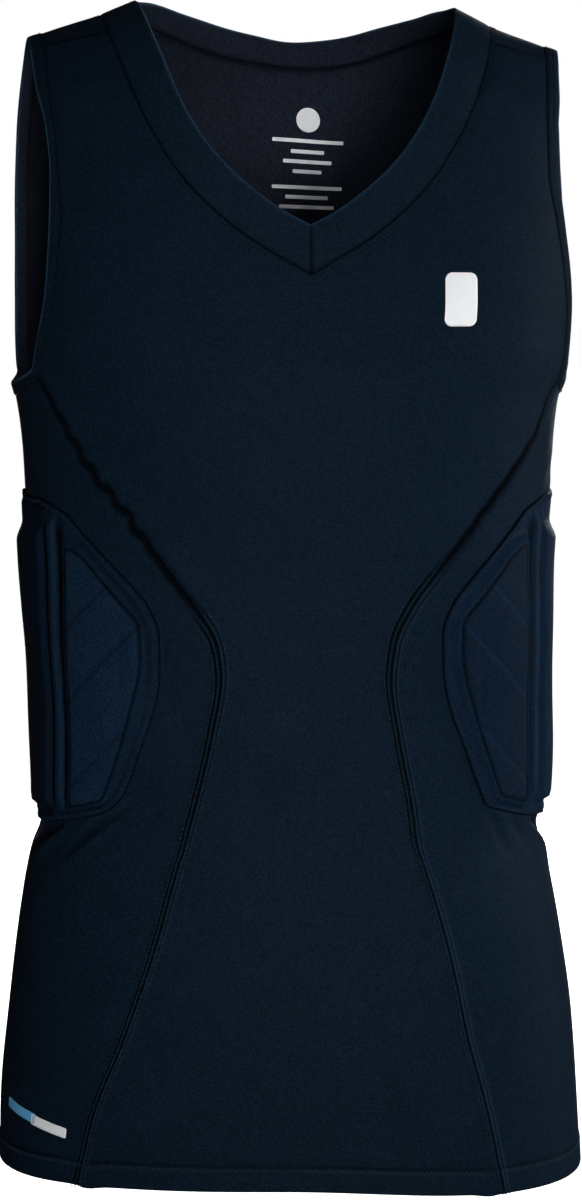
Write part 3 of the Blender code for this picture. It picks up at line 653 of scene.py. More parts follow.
def cloth_tone(places):
    """Tone of the panels: seams, a painted shadow and gleam at the hem, painted shade and light in
    creases.
    """
    around, down = canonical(places)
    degree = degree_length(places)
    below_armpit = ease((down - ARMPIT_DOWN + 0.004) / 0.010)
    tone = below_armpit * seam_tone(seam_distance(places), np.where(around < 0, -1, 1), down)
    # A dark line along each shoulder seam: dark thread and painted shade in its groove.
    tone += 0.75 * bell(ridge_distance(places, body(places)) / 0.0019)
    above_hem = hem_down(around) - down
    # A painted shadow line along the hem's upper stitching, and a painted gleam just below it.
    tone += 0.60 * bell((above_hem - HEM_SHADOW) / 0.0009)
    tone -= 0.20 * bell((above_hem - HEM_GLEAM) / 0.0012)
    # Painted shade in the creases' troughs, and painted light on their ridges.
    deep = np.zeros_like(tone)
    for row in CREASES:
        deep += crease(dict(zip(CREASE_COLUMNS, row)), around, down, degree)
    return tone + np.clip(-deep * 150, -0.15, 0.50)


def crease(line, around, down, degree):
    """Height of one crease: a trough that fades along its run, with a ridge on both sides."""
    start, end = line["side"] * line["start_around"], line["side"] * line["end_around"]
    run_x, run_y = (end - start) * MEAN_DEGREE, line["end_down"] - line["start_down"]
    length = math.hypot(run_x, run_y)
    x, y = (around - start) * MEAN_DEGREE, down - line["start_down"]
    along = (x * run_x + y * run_y) / length**2
    off = (x * run_y - y * run_x) / length * line["side"]
    off = off - line["bow"] * 4 * along * (1 - along)
    off = off * np.clip(degree / MEAN_DEGREE, 0.7, 1.4)
    fade = ease(along / 0.16) * ease((1 - along) / 0.62)
    width = line["width"] * (0.75 + 0.6 * np.clip(along, 0, 1))
    trough = bell(off / width) - 0.5 * bell((np.abs(off) - 1.9 * width) / width)
    return -line["depth"] * trough * fade


def mirrored(places):
    """The same places on the other side of the wearer."""
    return on_side(places, -1)


def behind(places):
    """The places that lie as far behind the side as these lie in front of it."""
    return np.array([180.0, 0.0]) + mirrored(places)


def on_back(places):
    """The same points, named from the back: past the side, and over the ridge."""
    return np.array([180.0, 0.0]) - places


def evenly(line, step):
    """A line of places with points a step apart, its two ends kept."""
    points = body(line)
    runs = np.linalg.norm(np.diff(points, axis=0), axis=1)
    travelled = np.concatenate([[0], np.cumsum(runs)])
    count = max(2, int(round(travelled[-1] / step)) + 1)
    at = np.linspace(0, travelled[-1], count)
    return np.stack([np.interp(at, travelled, line[:, axis]) for axis in (0, 1)], axis=-1)


def band_line(table, line, start, end, side=1, count=160):
    """A band's seam or edge between two stations, as places drawn on the left."""
    return band_places(table, line, np.linspace(start, end, count), side)


def band_places(table, line, stations, side=1):
    """A band's seam or edge at its stations, drawn on the left.

    The neckband's table is mirrored past the middle of its back. The armhole's differs a little
    from side to side.
    """
    knots = column(table, BAND_COLUMNS, "station")
    around = column(table, BAND_COLUMNS, line + "_around")
    down = column(table, BAND_COLUMNS, line + "_down")
    if table is NECK:
        knots = np.concatenate([knots, 2 * knots[-1] - knots[-4:-1][::-1]])
        around = np.concatenate([around, -around[-4:-1][::-1]])
        down = np.concatenate([down, down[-4:-1][::-1]])
        return np.stack([curve(stations, knots, around), curve(stations, knots, down)], axis=-1)
    around = around + arm_shift(knots, line, side)
    return np.stack([smooth(stations, knots, around), smooth(stations, knots, down)], axis=-1)


def arm_shift(stations, line, side):
    """Degrees that one side's armhole differs from the table."""
    name = ("left_" if side > 0 else "right_") + line
    return look_up(ARM_SHIFT, ARM_SHIFT_COLUMNS, stations, name)


def seam_line(side, behind_side=False):
    """A side seam on one side, from the hem up to the armhole, drawn as on the left front."""
    hem = hem_down(side * SIDE_SEAM[-1][1])
    down = np.linspace(hem, ARMPIT_DOWN, 400)
    return np.stack([side_seam(down, side, behind_side), down], axis=-1)


def shoulder_seam(count=12):
    """From the armhole to the neck, a little way down the front."""
    arm = band_places(ARMHOLE, "seam", np.zeros(1))[0]
    neck = band_places(NECK, "seam", np.ones(1))[0]
    return arm + np.linspace(0, 1, count)[:, None] * (neck - arm)


def ridge_distance(places, points):
    """Metres to the nearer shoulder seam, for places near the shoulders; far elsewhere."""
    distance = np.full(points.shape[:-1], 1.0)
    near = np.abs(places[..., 1]) < SHOULDER_REACH
    if not near.any():
        return distance
    chosen = points[near]
    nearest = np.full(len(chosen), 1.0)
    for side in (1, -1):
        seam = body(evenly(on_side(shoulder_seam(30), side), 0.001))
        for spot in seam:
            nearest = np.minimum(nearest, np.linalg.norm(chosen - spot, axis=1))
    distance[near] = nearest
    return distance


def joined(lines):
    """Lines with a shared end each, as one line."""
    return np.concatenate([lines[0]] + [line[1:] for line in lines[1:]])


def hem_line(start, end):
    """A panel's hem between two angles."""
    around = np.linspace(start, end, 200)
    return np.stack([around, hem_down(around)], axis=-1)


def front_outline():
    """Round the front panel: up the left seam and armhole, across the neck, down and back."""
    halves = []
    for side in (1, -1):
        arm = band_line(ARMHOLE, "seam", 1, 0, side)
        parts = [seam_line(side), arm, shoulder_seam(), band_line(NECK, "seam", 1, 0)]
        halves.append(joined([evenly(line, OUTLINE_STEP) for line in parts]))
    across_neck = joined([halves[0], mirrored(halves[1])[::-1]])
    hem = evenly(hem_line(across_neck[-1, 0], across_neck[0, 0]), OUTLINE_STEP)
    return np.concatenate([across_neck, hem[1:-1]])


def back_outline():
    """Round the back panel. It passes over the ridge to the shoulder seam."""
    arm = band_line(ARMHOLE, "seam", 2, 3)
    over = [on_back(shoulder_seam()), on_back(band_line(NECK, "seam", 1, 2))]
    halves = []
    for side in (1, -1):
        parts = [behind(seam_line(side, True)), arm] + over
        halves.append(joined([evenly(line, OUTLINE_STEP) for line in parts]))
    left, right = halves
    right = np.array([360.0, 0.0]) + mirrored(right)[::-1]
    top = joined([left, right])
    hem = evenly(hem_line(top[-1, 0], top[0, 0]), OUTLINE_STEP)
    return np.concatenate([top, hem[1:-1]])[::-1]


def flattened(places):
    """Places laid nearly flat, in metres, with the hem straight."""
    return np.stack([places[..., 0] * MEAN_DEGREE, hem_down(places[..., 0]) - places[..., 1]], -1)


def lifted_up(flat):
    """Places from their flat points."""
    around = flat[:, 0] / MEAN_DEGREE
    return np.stack([around, hem_down(around) - flat[:, 1]], axis=-1)


def clearance(points, outline):
    """Distance of each flat point to an outline, and whether it lies inside."""
    start, run = outline, np.roll(outline, -1, axis=0) - outline
    steep = np.where(run[:, 1] == 0, 1.0, run[:, 1])
    distance, inside = [], []
    for part in np.array_split(points, max(1, len(points) // 1500)):
        away = part[:, None] - start
        along = np.clip(np.sum(away * run, -1) / np.sum(run * run, -1), 0, 1)
        distance.append(np.linalg.norm(away - along[..., None] * run, axis=-1).min(axis=1))
        level = (start[:, 1] > part[:, None, 1]) != (start[:, 1] + run[:, 1] > part[:, None, 1])
        crossing = start[:, 0] + away[..., 1] * run[:, 0] / steep
        inside.append(np.sum(level & (part[:, None, 0] < crossing), axis=1) % 2 == 1)
    return np.concatenate(distance), np.concatenate(inside)


def lattice(low, high):
    """Flat points in staggered rows."""
    rise = CLOTH_STEP * math.sqrt(3) / 2
    found = []
    for row in range(int((high[1] - low[1]) / rise) + 2):
        x = np.arange(low[0], high[0], CLOTH_STEP) + (row % 2) * CLOTH_STEP / 2
        found.append(np.stack([x, np.full_like(x, low[1] + row * rise)], axis=-1))
    return np.concatenate(found)


def filled(outline):
    """Places of a panel, outline first, and the triangles between them."""
    flat = flattened(outline)
    ahead = np.roll(flat, -1, axis=0) - np.roll(flat, 1, axis=0)
    ahead /= np.linalg.norm(ahead, axis=1, keepdims=True)
    inward = np.stack([-ahead[:, 1], ahead[:, 0]], axis=-1)
    rails = [flat + offset * inward for offset in RAILS]
    distance, inside = clearance(np.concatenate(rails), flat)
    wanted = np.repeat(RAILS, len(flat))
    beside = np.concatenate(rails)[inside & (distance > 0.93 * wanted)]
    reach = flat[:, 0].min(), flat[:, 0].max()
    x = np.arange(*reach, OUTLINE_STEP)
    rows = [np.stack([x, np.full_like(x, rail)], axis=-1) for rail in HEM_RAILS]
    rows = np.concatenate(rows)
    distance, inside = clearance(rows, flat)
    rows = rows[inside & (distance > RAILS[-1] + 0.002)]
    middle = lattice(flat.min(axis=0), flat.max(axis=0))
    distance, inside = clearance(middle, flat)
    clear = (middle[:, 1] > HEM_RAILS[-1] + 0.003) | (middle[:, 1] < HEM_RAILS[0] - 0.003)
    middle = middle[inside & (distance > RAILS[-1] + 0.0032) & clear]
    points = np.concatenate([flat, beside, rows, middle])
    ring = list(range(len(flat)))
    found = delaunay_2d_cdt([Vector(point) for point in points], [], [ring], 1, WELD_DISTANCE)
    sources = [min(source) for source in found[3]]
    faces = [tuple(sources[corner] for corner in face) for face in found[2]]
    places = np.concatenate([outline, lifted_up(points[len(flat):])])
    return places, faces, ring


def crowded(length, step):
    """Shares of a length in even steps, with shorter ones near both ends."""
    ends = np.array(EDGE_CROWDING)
    middle_length = length - 2 * ends[-1]
    count = max(2, int(math.ceil(middle_length / step)))
    middle = ends[-1] + np.linspace(0, 1, count + 1) * middle_length
    return np.concatenate([ends[:-1], middle, (length - ends[:-1])[::-1]]) / length


def side_grid(side):
    """One side panel's places, hem to armhole, front seam to back seam, drawn as on the left."""
    hem = hem_down(side * SIDE_SEAM[-1][1])
    length = hem - ARMPIT_DOWN
    hem_shares = [step / length for step in HEM_STEPS + HEM_RAILS]
    rest = np.linspace(HEM_RAILS[-1] + 0.0025, length - 0.0025, int(length / 0.0032)) / length
    shares = np.concatenate([hem_shares, rest, [1.0]])
    under_arm = slice(7, 12)
    stations = column(ARMHOLE, BAND_COLUMNS, "station")[under_arm]
    arm_around = column(ARMHOLE, BAND_COLUMNS, "seam_around")[under_arm]
    arm_around = arm_around + arm_shift(stations, "seam", side)
    arm_down = column(ARMHOLE, BAND_COLUMNS, "seam_down")[under_arm]
    near = np.concatenate([[0.0], RAILS])
    rows = []
    for share in shares:
        seam_down = hem + share * (ARMPIT_DOWN - hem)
        front = side_seam(seam_down, side)
        rear = 180 - side_seam(seam_down, side, True)
        edge = near / ((rear - front) * MEAN_DEGREE)
        middle = np.linspace(edge[-1], 1 - edge[-1], SIDE_PANEL_COLUMNS)[1:-1]
        columns = np.concatenate([edge, middle, 1 - edge[::-1]])
        around = front + columns * (rear - front)
        foot = hem_down(side * around)
        top = smooth(np.clip(around, arm_around[0], arm_around[-1]), arm_around, arm_down)
        down = foot + share * (top - foot)
        fade = np.clip(1 - columns / 0.25, 0, 1)
        down = down + (seam_down - down[0]) * fade + (seam_down - down[-1]) * fade[::-1]
        rows.append(np.stack([around, down], axis=-1))
    return np.array(rows)


def grid_faces(rows, columns, closed=False):
    """Quads of a grid of points, seen from its front. A closed grid joins up both ways."""
    faces = []
    for row in range(rows if closed else rows - 1):
        near, far = row * columns, (row + 1) % rows * columns
        for place in range(columns if closed else columns - 1):
            following = (place + 1) % columns
            faces.append((near + place, near + following, far + following, far + place))
    return faces


def border(rows, columns):
    """Indices of a grid's outline, in order."""
    bottom = list(range(columns))
    right = [row * columns + columns - 1 for row in range(1, rows)]
    top = [(rows - 1) * columns + place for place in range(columns - 2, -1, -1)]
    left = [row * columns for row in range(rows - 2, 0, -1)]
    return bottom + right + top + left


def slab_faces(rows, columns):
    """Faces of a slab: an outer grid, the same grid inside it, and the wall between them."""
    count = rows * columns
    faces = grid_faces(rows, columns)
    faces += [tuple(count + corner for corner in reversed(face)) for face in faces]
    ring = border(rows, columns)
    faces += [(b, a, a + count, b + count) for a, b in zip(ring, ring[1:] + ring[:1])]
    return faces


def add_mesh(name, points, faces, uv, inside, tone, material):
    """A smooth mesh with a cloth UV map in metres, a mark of what faces the wearer, and a tone.

    The tone darkens towards 1 and lightens below 0: dark thread lines, painted shade in grooves
    and creases, and painted highlights on folds and ridges.
    """
    mesh = bpy.data.meshes.new(name)
    mesh.from_pydata([tuple(point) for point in points], [], faces)
    corners = np.zeros(len(mesh.loops), int)
    mesh.loops.foreach_get("vertex_index", corners)
    layer = mesh.uv_layers.new(name="cloth")
    layer.uv.foreach_set("vector", np.asarray(uv, float)[corners].ravel())
    for title, values in (("inside", inside), ("tone", tone)):
        mark = mesh.attributes.new(title, "FLOAT", "POINT")
        mark.data.foreach_set("value", np.asarray(values, float).ravel())
    mesh.materials.append(material)
    mesh.shade_smooth()
    mesh.validate()
    piece = bpy.data.objects.new(name, mesh)
    bpy.context.scene.collection.objects.link(piece)
    return piece


def panel(name, places, faces, ring, cloth, material):
    """A panel of cloth: an outer wall, an inner wall, and a rounded edge all round."""
    above_hem = hem_down(canonical(places)[0]) - places[:, 1]
    depth = cloth + HEM_EXTRA * doubled(above_hem)
    normal = outward(places)
    outer = body(places) + folds(places)[:, None] * normal
    side = edge_sides(outer[ring], normal[ring])
    half = depth[ring, None] / 2
    outer[ring] -= (half - PANEL_OVERLAP) * side
    inner = outer - depth[:, None] * normal
    count, length = len(places), len(ring)
    angles = np.linspace(0, math.pi, RIM_STEPS + 2)[1:-1]
    centre = outer[ring] - half * normal[ring]
    rims = [centre + half * (math.cos(a) * normal[ring] + math.sin(a) * side) for a in angles]
    points = np.concatenate([outer, inner] + rims)
    walls = list(faces) + [tuple(count + corner for corner in reversed(face)) for face in faces]
    starts = [2 * count + step * length for step in range(RIM_STEPS)]
    loops = [ring] + [list(range(start, start + length)) for start in starts]
    loops.append([count + index for index in ring])
    for near, far in zip(loops, loops[1:]):
        for a in range(length):
            b = (a + 1) % length
            walls.append((near[b], near[a], far[a], far[b]))
    flat = flattened(places)
    uv = np.concatenate([flat, flat] + [flat[ring]] * RIM_STEPS)
    inside = np.concatenate([np.zeros(count), np.ones(count), np.zeros(RIM_STEPS * length)])
    tone = cloth_tone(places)
    # Dark thread and painted shade along the panel's sewn edges, but not at the hem.
    edge_tone = 0.55 * ease((above_hem[ring] - 0.001) / 0.001)
    tone[ring] = np.maximum(tone[ring], edge_tone)
    tone = np.concatenate([tone, np.zeros(count)] + [edge_tone] * RIM_STEPS)
    return add_mesh(name, points, walls, uv, inside, tone, material)


def edge_sides(ring, normal):
    """Directions across an outline, away from the panel, in its surface."""
    ahead = np.roll(ring, -1, axis=0) - ring
    ahead /= np.linalg.norm(ahead, axis=1, keepdims=True)
    sides = np.cross(ahead, normal)
    mean = sides + np.roll(sides, 1, axis=0)
    mean /= np.linalg.norm(mean, axis=1, keepdims=True)
    return mean


def flat_area(places, faces):
    """Area of one layer of a panel as worn, which is also the cut's flat area here."""
    points = body(places)
    area = 0.0
    for face in faces:
        first = points[face[0]]
        for b, c in zip(face[1:], face[2:]):
            area += np.linalg.norm(np.cross(points[b] - first, points[c] - first)) / 2
    return float(area)


def band_rows(table, stations, side=1):
    """Seam and edge places of a band at its stations."""
    return [on_side(band_places(table, line, stations, side), side) for line in ("seam", "edge")]


def band(name, seam, edge, cloth, edge_rise, needles, mitre, fold_highlight, material):
    """A folded band: its outer and inner faces, a round fold at the edge, stitched at the seam."""
    width = np.linalg.norm(body(edge) - body(seam), axis=-1)[:, None]
    half = cloth / 2
    turn = np.linspace(0, math.pi, FOLD_STEPS)[1:-1]
    fold = half * np.sin(turn)[None, :]
    face = half / width + np.linspace(0, 1, BAND_STEPS) * (1 - 2 * half / width)
    round_edge, round_seam = 1 + (fold - half) / width, (half - fold) / width
    shares = np.concatenate([face, round_edge, face[:, ::-1], round_seam], axis=1)
    outer = np.ones(BAND_STEPS)
    level = np.concatenate([outer, np.cos(turn), -outer, -np.cos(turn)])
    clipped = np.clip(shares, 0, 1)
    rise = BAND_RISE + edge_rise * clipped**2 + 0.0005 * np.sin(np.pi * clipped) * (level > 0)
    for needle in needles:
        rise = rise - 0.00022 * bell((clipped * width - needle) / 0.0009) * (level > 0)
    rise = rise - half + half * level[None, :]
    if mitre:
        off = np.abs(seam[:, 0] + edge[:, 0]) / 2 * MEAN_DEGREE
        off = np.where(seam[:, 1] > 0, off, 1.0)
        rise = rise - 0.0007 * bell(off / 0.0009)[:, None] * (level > 0)
    places = seam[:, None] + shares[..., None] * (edge - seam)[:, None]
    normal = outward(places)
    points = body(places) + (folds(places) + rise)[..., None] * normal
    faces = grid_faces(*points.shape[:2], closed=True)
    runs = np.linalg.norm(np.diff(points[:, 0], axis=0), axis=1)
    along = np.concatenate([[0], np.cumsum(runs)])
    uv = np.stack([np.broadcast_to(along[:, None], shares.shape), clipped * width], axis=-1)
    inside = np.broadcast_to((level < -0.5)[None, :], shares.shape)
    area = float(np.sum(width * np.gradient(along)[:, None]))
    from_seam = shares * width
    reach = 0.0009 if mitre else 0.0014
    # A painted highlight along the folded edge, stronger in front than behind, and dark thread and
    # painted shade at the seam.
    painted_highlight = np.where(np.abs(seam[:, :1]) < 90, fold_highlight, 0.25 * fold_highlight)
    tone = 0.55 * bell(from_seam / 0.0008) - painted_highlight * bell((width - from_seam) / reach)
    # Dark thread and painted shade at the needle rows and at the mitre of the V.
    for needle in needles:
        tone = tone + 0.3 * bell((from_seam - needle) / 0.0007)
    if mitre:
        tone = tone + 0.7 * bell(off / 0.0008)[:, None]
    inner = 0.85 * bell((from_seam - 0.0022) / 0.0014) - (0.05 if mitre else 0.20)
    tone = np.where(level < -0.5, inner, tone)
    points, uv = points.reshape(-1, 3), uv.reshape(-1, 2)
    piece = add_mesh(name, points, faces, uv, inside, tone, material)
    turn_out(piece)
    return piece, area, float(along[-1])


def turn_out(piece):
    """Turns a closed mesh's faces outwards."""
    mesh = piece.data
    signed = 0.0
    points = np.array([vertex.co[:] for vertex in mesh.vertices])
    for face in mesh.polygons:
        corners = list(face.vertices)
        for b, c in zip(corners[1:], corners[2:]):
            signed += np.dot(points[corners[0]], np.cross(points[b], points[c]))
    if signed < 0:
        mesh.flip_normals()


def plate_distance(folded, down):
    """Metres inside the front plate's outline, rounded at its corners."""
    scale = np.array([MEAN_DEGREE, 1.0])
    corners = np.array(FRONT_PLATE) * scale
    point = np.stack([folded * MEAN_DEGREE, down], axis=-1)
    start, run = corners, np.roll(corners, -1, axis=0) - corners
    lengths = np.linalg.norm(run, axis=1)
    inward = np.stack([-run[:, 1], run[:, 0]], axis=-1) / lengths[:, None]
    middle = corners.mean(axis=0)
    inward *= np.sign(np.sum((middle - start) * inward, axis=1))[:, None]
    away = [np.sum((point - start[k]) * inward[k], axis=-1) for k in range(len(corners))]
    soft = sum(np.exp(-one / PLATE_CORNER * 4) for one in np.clip(away, -0.03, 0.03))
    return -np.log(soft) * PLATE_CORNER / 4


def pad_top(around):
    """Distance down to the pad's top edge."""
    return look_up(PAD_TOP, TOP_COLUMNS, from_front(around), "down")


def pad_edge(down):
    """Angle of the pad's front edge."""
    return look_up(PAD_EDGE, SEAM_COLUMNS, down, "around")


def pad_corner(side):
    """How round a pad's lower corners are."""
    return PAD_CORNER_LEFT if side > 0 else PAD_CORNER_RIGHT


def pad_grid(side):
    """A pad's places, foot to top, front edge to back edge, drawn as on the left."""
    corner = pad_corner(side)
    shares = crowded(PAD_LENGTH, PAD_STEP)
    ends = np.array(EDGE_CROWDING)
    rows = []
    for share in shares:
        above_foot = share * (PAD_FOOT_DOWN - PAD_CORNER_DOWN)
        front = float(pad_edge(PAD_FOOT_DOWN - above_foot))
        short = max(corner - above_foot, 0.0)
        inset = corner - math.sqrt(max(corner**2 - short**2, 0.0))
        front += inset / MEAN_DEGREE
        edge = front + ends / MEAN_DEGREE
        fine = np.linspace(edge[-1], SIDE_PLATE_START + FINE_REACH, PAD_FINE_COLUMNS)[1:]
        half = np.concatenate([edge, fine])
        middle = np.linspace(half[-1], 180 - half[-1], PAD_SIDE_COLUMNS)[1:-1]
        around = np.concatenate([half, middle, 180 - half[::-1]])
        down = PAD_FOOT_DOWN + share * (pad_top(around) - PAD_FOOT_DOWN)
        rows.append(np.stack([around, down], axis=-1))
    return np.array(rows)


def pad_border(folded, down, degree, side):
    """Metres inside the pad's outline, rounded at its lower corners."""
    from_edge = (folded - pad_edge(down)) * degree * 0.86
    from_top = (down - pad_top(folded)) * 0.9
    from_foot = PAD_FOOT_DOWN - down
    corner = pad_corner(side)
    short_edge = np.maximum(corner - from_edge, 0)
    short_foot = np.maximum(corner - from_foot, 0)
    from_corner = corner - np.hypot(short_edge, short_foot)
    return np.minimum.reduce([from_edge, from_top, from_foot, from_corner])


def pad_form(places, side):
    """Thickness of the pad, a flange, front and side plates, ribs and channels, and its tone,
    mostly painted light and shade.
    """
    around, down = np.abs(places[..., 0]), places[..., 1]
    rear = around > 90
    folded = from_front(around)
    degree = degree_length(places)
    border_away = pad_border(folded, down, degree, side)
    plate = plate_distance(folded, down)
    rise = ease(plate / PLATE_SLOPE + 1)
    side_away = np.minimum((folded - SIDE_PLATE_START) * degree, SIDE_PLATE_FOOT - down)
    side_rise = ease(side_away / 0.0045) * ease((down - SIDE_PLATE_TOP) / 0.0130)
    rib_middle = sum(RIB_SPAN) / 2
    rib_half = (RIB_SPAN[1] - RIB_SPAN[0]) / 2
    rib_away = (rib_half - np.abs(folded - rib_middle)) * degree
    ends = np.minimum(down - SIDE_PLATE_TOP, SIDE_PLATE_FOOT - down)
    rib = ease(rib_away / 0.0022 + 0.55) * ease(ends / 0.013 + 0.35)
    valley = ease((border_away - 0.004) / 0.004)
    base = FLANGE_HEIGHT + (VALLEY_HEIGHT - FLANGE_HEIGHT) * valley
    plates = (PLATE_HEIGHT - base) * rise, (PLATE_HEIGHT - base) * side_rise
    height = base + np.maximum.reduce([*plates, (RIB_HEIGHT - base) * rib])
    line_away = plate - 0.0008
    height = height - 0.0006 * bell(line_away / 0.0009)
    height = height - 0.0004 * bell((side_away - 0.0052) / 0.0008)
    # Painted shade in the groove round the front plate, and a little painted light on the slope
    # just outside it.
    tone = 0.85 * bell(line_away / 0.0008) - 0.12 * bell((plate + 0.0030) / 0.0020)
    for row in CHANNELS:
        line = dict(zip(CHANNEL_COLUMNS, row))
        away = channel_distance(folded, down, degree, line)
        pressed = bell(away / line["width"]) * ease(plate / 0.001)
        height = height - line["depth"] * pressed
        tone = tone + CHANNEL_TONE[side] * line["depth"] * pressed
    rounding = np.clip(1 - border_away / FLANGE_ROUNDING, 0, 1)
    shoulder = np.sqrt(np.clip(1 - rounding**2, 0, 1))
    stitched = 0.0003 * bell((border_away - 0.0030) / 0.0011)
    height = np.maximum((height - stitched) * (0.25 + 0.75 * shoulder), 0.0002)
    # Painted shade along the pad's edge, and a dark line a little way inside it.
    tone = tone + 0.80 * bell(border_away / 0.0012) + 0.35 * bell((border_away - 0.0050) / 0.0010)
    # Painted shade and light on whole faces as the light falls: the left pad's plate a little
    # darker; on the right pad the plate's slope darker, the plate lighter, and the side past the
    # rib darker in front.
    if side > 0:
        tone = tone + 0.18 * ease(plate / 0.002)
    else:
        tone = tone + 0.30 * bell((plate + 0.0030) / 0.0030) - 0.28 * ease(plate / 0.002)
        tone = tone + 0.45 * ease((folded - 61.0) / 2.0) * ~rear
    # Painted shade in the valley before the rib, and a painted highlight on the rib's front edge.
    low = ease((VALLEY_HEIGHT + 0.0012 - height) / 0.0012) * ease((folded - 54.0) / 1.0)
    low = low * ease((63.0 - folded) / 1.0) * ease(ends / 0.010)
    rib_edge = rib * bell(rib_away / 0.0012 - 1.6) * (folded < rib_middle)
    tone = tone + (0.45 if side > 0 else 0.72) * low - 0.45 * rib_edge
    return height, tone


def channel_distance(folded, down, degree, line):
    """Distance to the straight run of one channel."""
    run_x = (line["end_around"] - line["start_around"]) * degree
    run_y = line["end_down"] - line["start_down"]
    x, y = (folded - line["start_around"]) * degree, down - line["start_down"]
    along = np.clip((x * run_x + y * run_y) / (run_x**2 + run_y**2), 0, 1)
    return np.hypot(x - along * run_x, y - along * run_y)


def pad(name, side, material):
    """A moulded foam pad under cloth: its inside lies on the side panel."""
    drawn = pad_grid(side)
    places = on_side(drawn, side)
    height, tone = pad_form(drawn, side)
    normal = outward(places)
    base = body(places) + (folds(places) + SEAM_GAP)[..., None] * normal
    outer = base + height[..., None] * normal
    faces = slab_faces(*places.shape[:2])
    if side < 0:
        faces = [tuple(reversed(face)) for face in faces]
    points = np.concatenate([outer.reshape(-1, 3), base.reshape(-1, 3)])
    uv = flattened(places).reshape(-1, 2)
    zero = np.zeros(len(uv))
    inside = np.concatenate([zero, zero + 1])
    tone = np.concatenate([tone.ravel(), zero])
    return add_mesh(name, points, faces, np.concatenate([uv, uv]), inside, tone, material)


class Value:
    """A node's socket that takes part in sums, so a pattern reads as it is worked out."""

    def __init__(self, tree, socket=None):
        self.tree = tree
        self.socket = socket

    def node(self, kind, settings=None, output=0, **sockets):
        """A new node: its settings first, then its sockets by name or by index, as in _6."""
        made = self.tree.nodes.new(kind)
        for name, setting in (settings or {}).items():
            if name == "stops":
                for stop, (place, colour) in zip(made.color_ramp.elements, setting):
                    stop.position = place
                    stop.color = colour
            else:
                setattr(made, name, setting)
        for name, value in sockets.items():
            key = int(name[1:]) if name[0] == "_" else name.replace("_", " ")
            self.feed(made.inputs[key], value)
        return Value(self.tree, made.outputs[output] if made.outputs else None)

    def feed(self, target, value):
        """Links a socket, or sets its value."""
        if isinstance(value, Value):
            self.tree.links.new(value.socket, target)
        else:
            target.default_value = value

    def math(self, operation, first, second=0.0):
        return self.node("ShaderNodeMath", {"operation": operation}, _0=first, _1=second)

    def __add__(self, other):
        return self.math("ADD", self, other)

    def __radd__(self, other):
        return self.math("ADD", other, self)

    def __sub__(self, other):
        return self.math("SUBTRACT", self, other)

    def __rsub__(self, other):
        return self.math("SUBTRACT", other, self)

    def __mul__(self, other):
        return self.math("MULTIPLY", self, other)

    def __rmul__(self, other):
        return self.math("MULTIPLY", other, self)

    def __abs__(self):
        return self.math("ABSOLUTE", self)


def shade(value, share):
    """A colour made darker or lighter."""
    return (value[0] * share, value[1] * share, value[2] * share, 1.0)


def emptied(owner):
    """An empty start for the nodes of a material or a world."""
    owner.use_nodes = True
    owner.node_tree.nodes.clear()
    return Value(owner.node_tree)


def blend(start, share, first, second):
    """A mix of two colours."""
    return start.node("ShaderNodeMix", {"data_type": "RGBA"}, 2, _0=share, _6=first, _7=second)


def knit(name, look, colour):
    """Fine stretch knit: columns of small loops, mottled, with a soft sheen."""
    material = bpy.data.materials.new(name)
    start = emptied(material)
    uv = start.node("ShaderNodeUVMap", {"uv_map": "cloth"})
    u = start.node("ShaderNodeSeparateXYZ", _0=uv)
    v = Value(start.tree, u.socket.node.outputs[1])
    wale = abs(start.math("SINE", u * (math.pi / look.wale)))
    loop = start.math("SINE", v * (2 * math.pi / look.course) + wale * 2.2)
    loops = wale * 0.6 + loop * 0.4
    place = start.node("ShaderNodeTexCoord", output=3)
    grain = start.node("ShaderNodeTexNoise", Vector=place, Scale=880.0, Detail=2.0)
    cloud = start.node("ShaderNodeTexNoise", Vector=place, Scale=38.0, Detail=3.0)
    inside = start.node("ShaderNodeAttribute", {"attribute_name": "inside"}, output=2)
    mottle = (grain - 0.5) * 6.0 + (cloud - 0.5) * 0.8 + (loops - 0.4) * 0.12 + 0.5
    outer = blend(start, mottle, shade(colour, 0.70), shade(colour, 1.30))
    inner = blend(start, mottle, shade(look.wear_side, 0.70), shade(look.wear_side, 1.30))
    base = blend(start, inside, outer, inner)
    # The tone attribute scales the colour: dark thread, painted shade and painted highlights,
    # worked out for each piece.
    tone = start.node("ShaderNodeAttribute", {"attribute_name": "tone"}, output=2)
    base = start.node("ShaderNodeVectorMath", {"operation": "SCALE"}, _0=base, Scale=1.0 - tone)
    relief = loops * 0.45 + grain * 0.55
    surface = start.node(
        "ShaderNodeBsdfPrincipled",
        Base_Color=base,
        Roughness=look.roughness + (cloud - 0.5) * 0.10 + inside * 0.15,
        Normal=start.node("ShaderNodeBump", Strength=0.45, Distance=0.00022, Height=relief),
        Specular_IOR_Level=look.specular,
        Sheen_Weight=look.sheen,
        Sheen_Roughness=0.45,
        Sheen_Tint=(*look.sheen_colour, 1.0),
    )
    start.node("ShaderNodeOutputMaterial", Surface=surface)
    return material


def plain(name, colour, roughness, specular, variation):
    """Thread or print: one colour with a little variation, and a fine grain."""
    material = bpy.data.materials.new(name)
    start = emptied(material)
    place = start.node("ShaderNodeTexCoord", output=3)
    grain = start.node("ShaderNodeTexNoise", Vector=place, Scale=700.0, Detail=2.0)
    surface = start.node(
        "ShaderNodeBsdfPrincipled",
        Base_Color=blend(start, grain, shade(colour, 1 - variation), shade(colour, 1 + variation)),
        Roughness=roughness + (grain - 0.5) * 0.15,
        Normal=start.node("ShaderNodeBump", Strength=0.3, Distance=0.0001, Height=grain),
        Specular_IOR_Level=specular,
    )
    start.node("ShaderNodeOutputMaterial", Surface=surface)
    return material


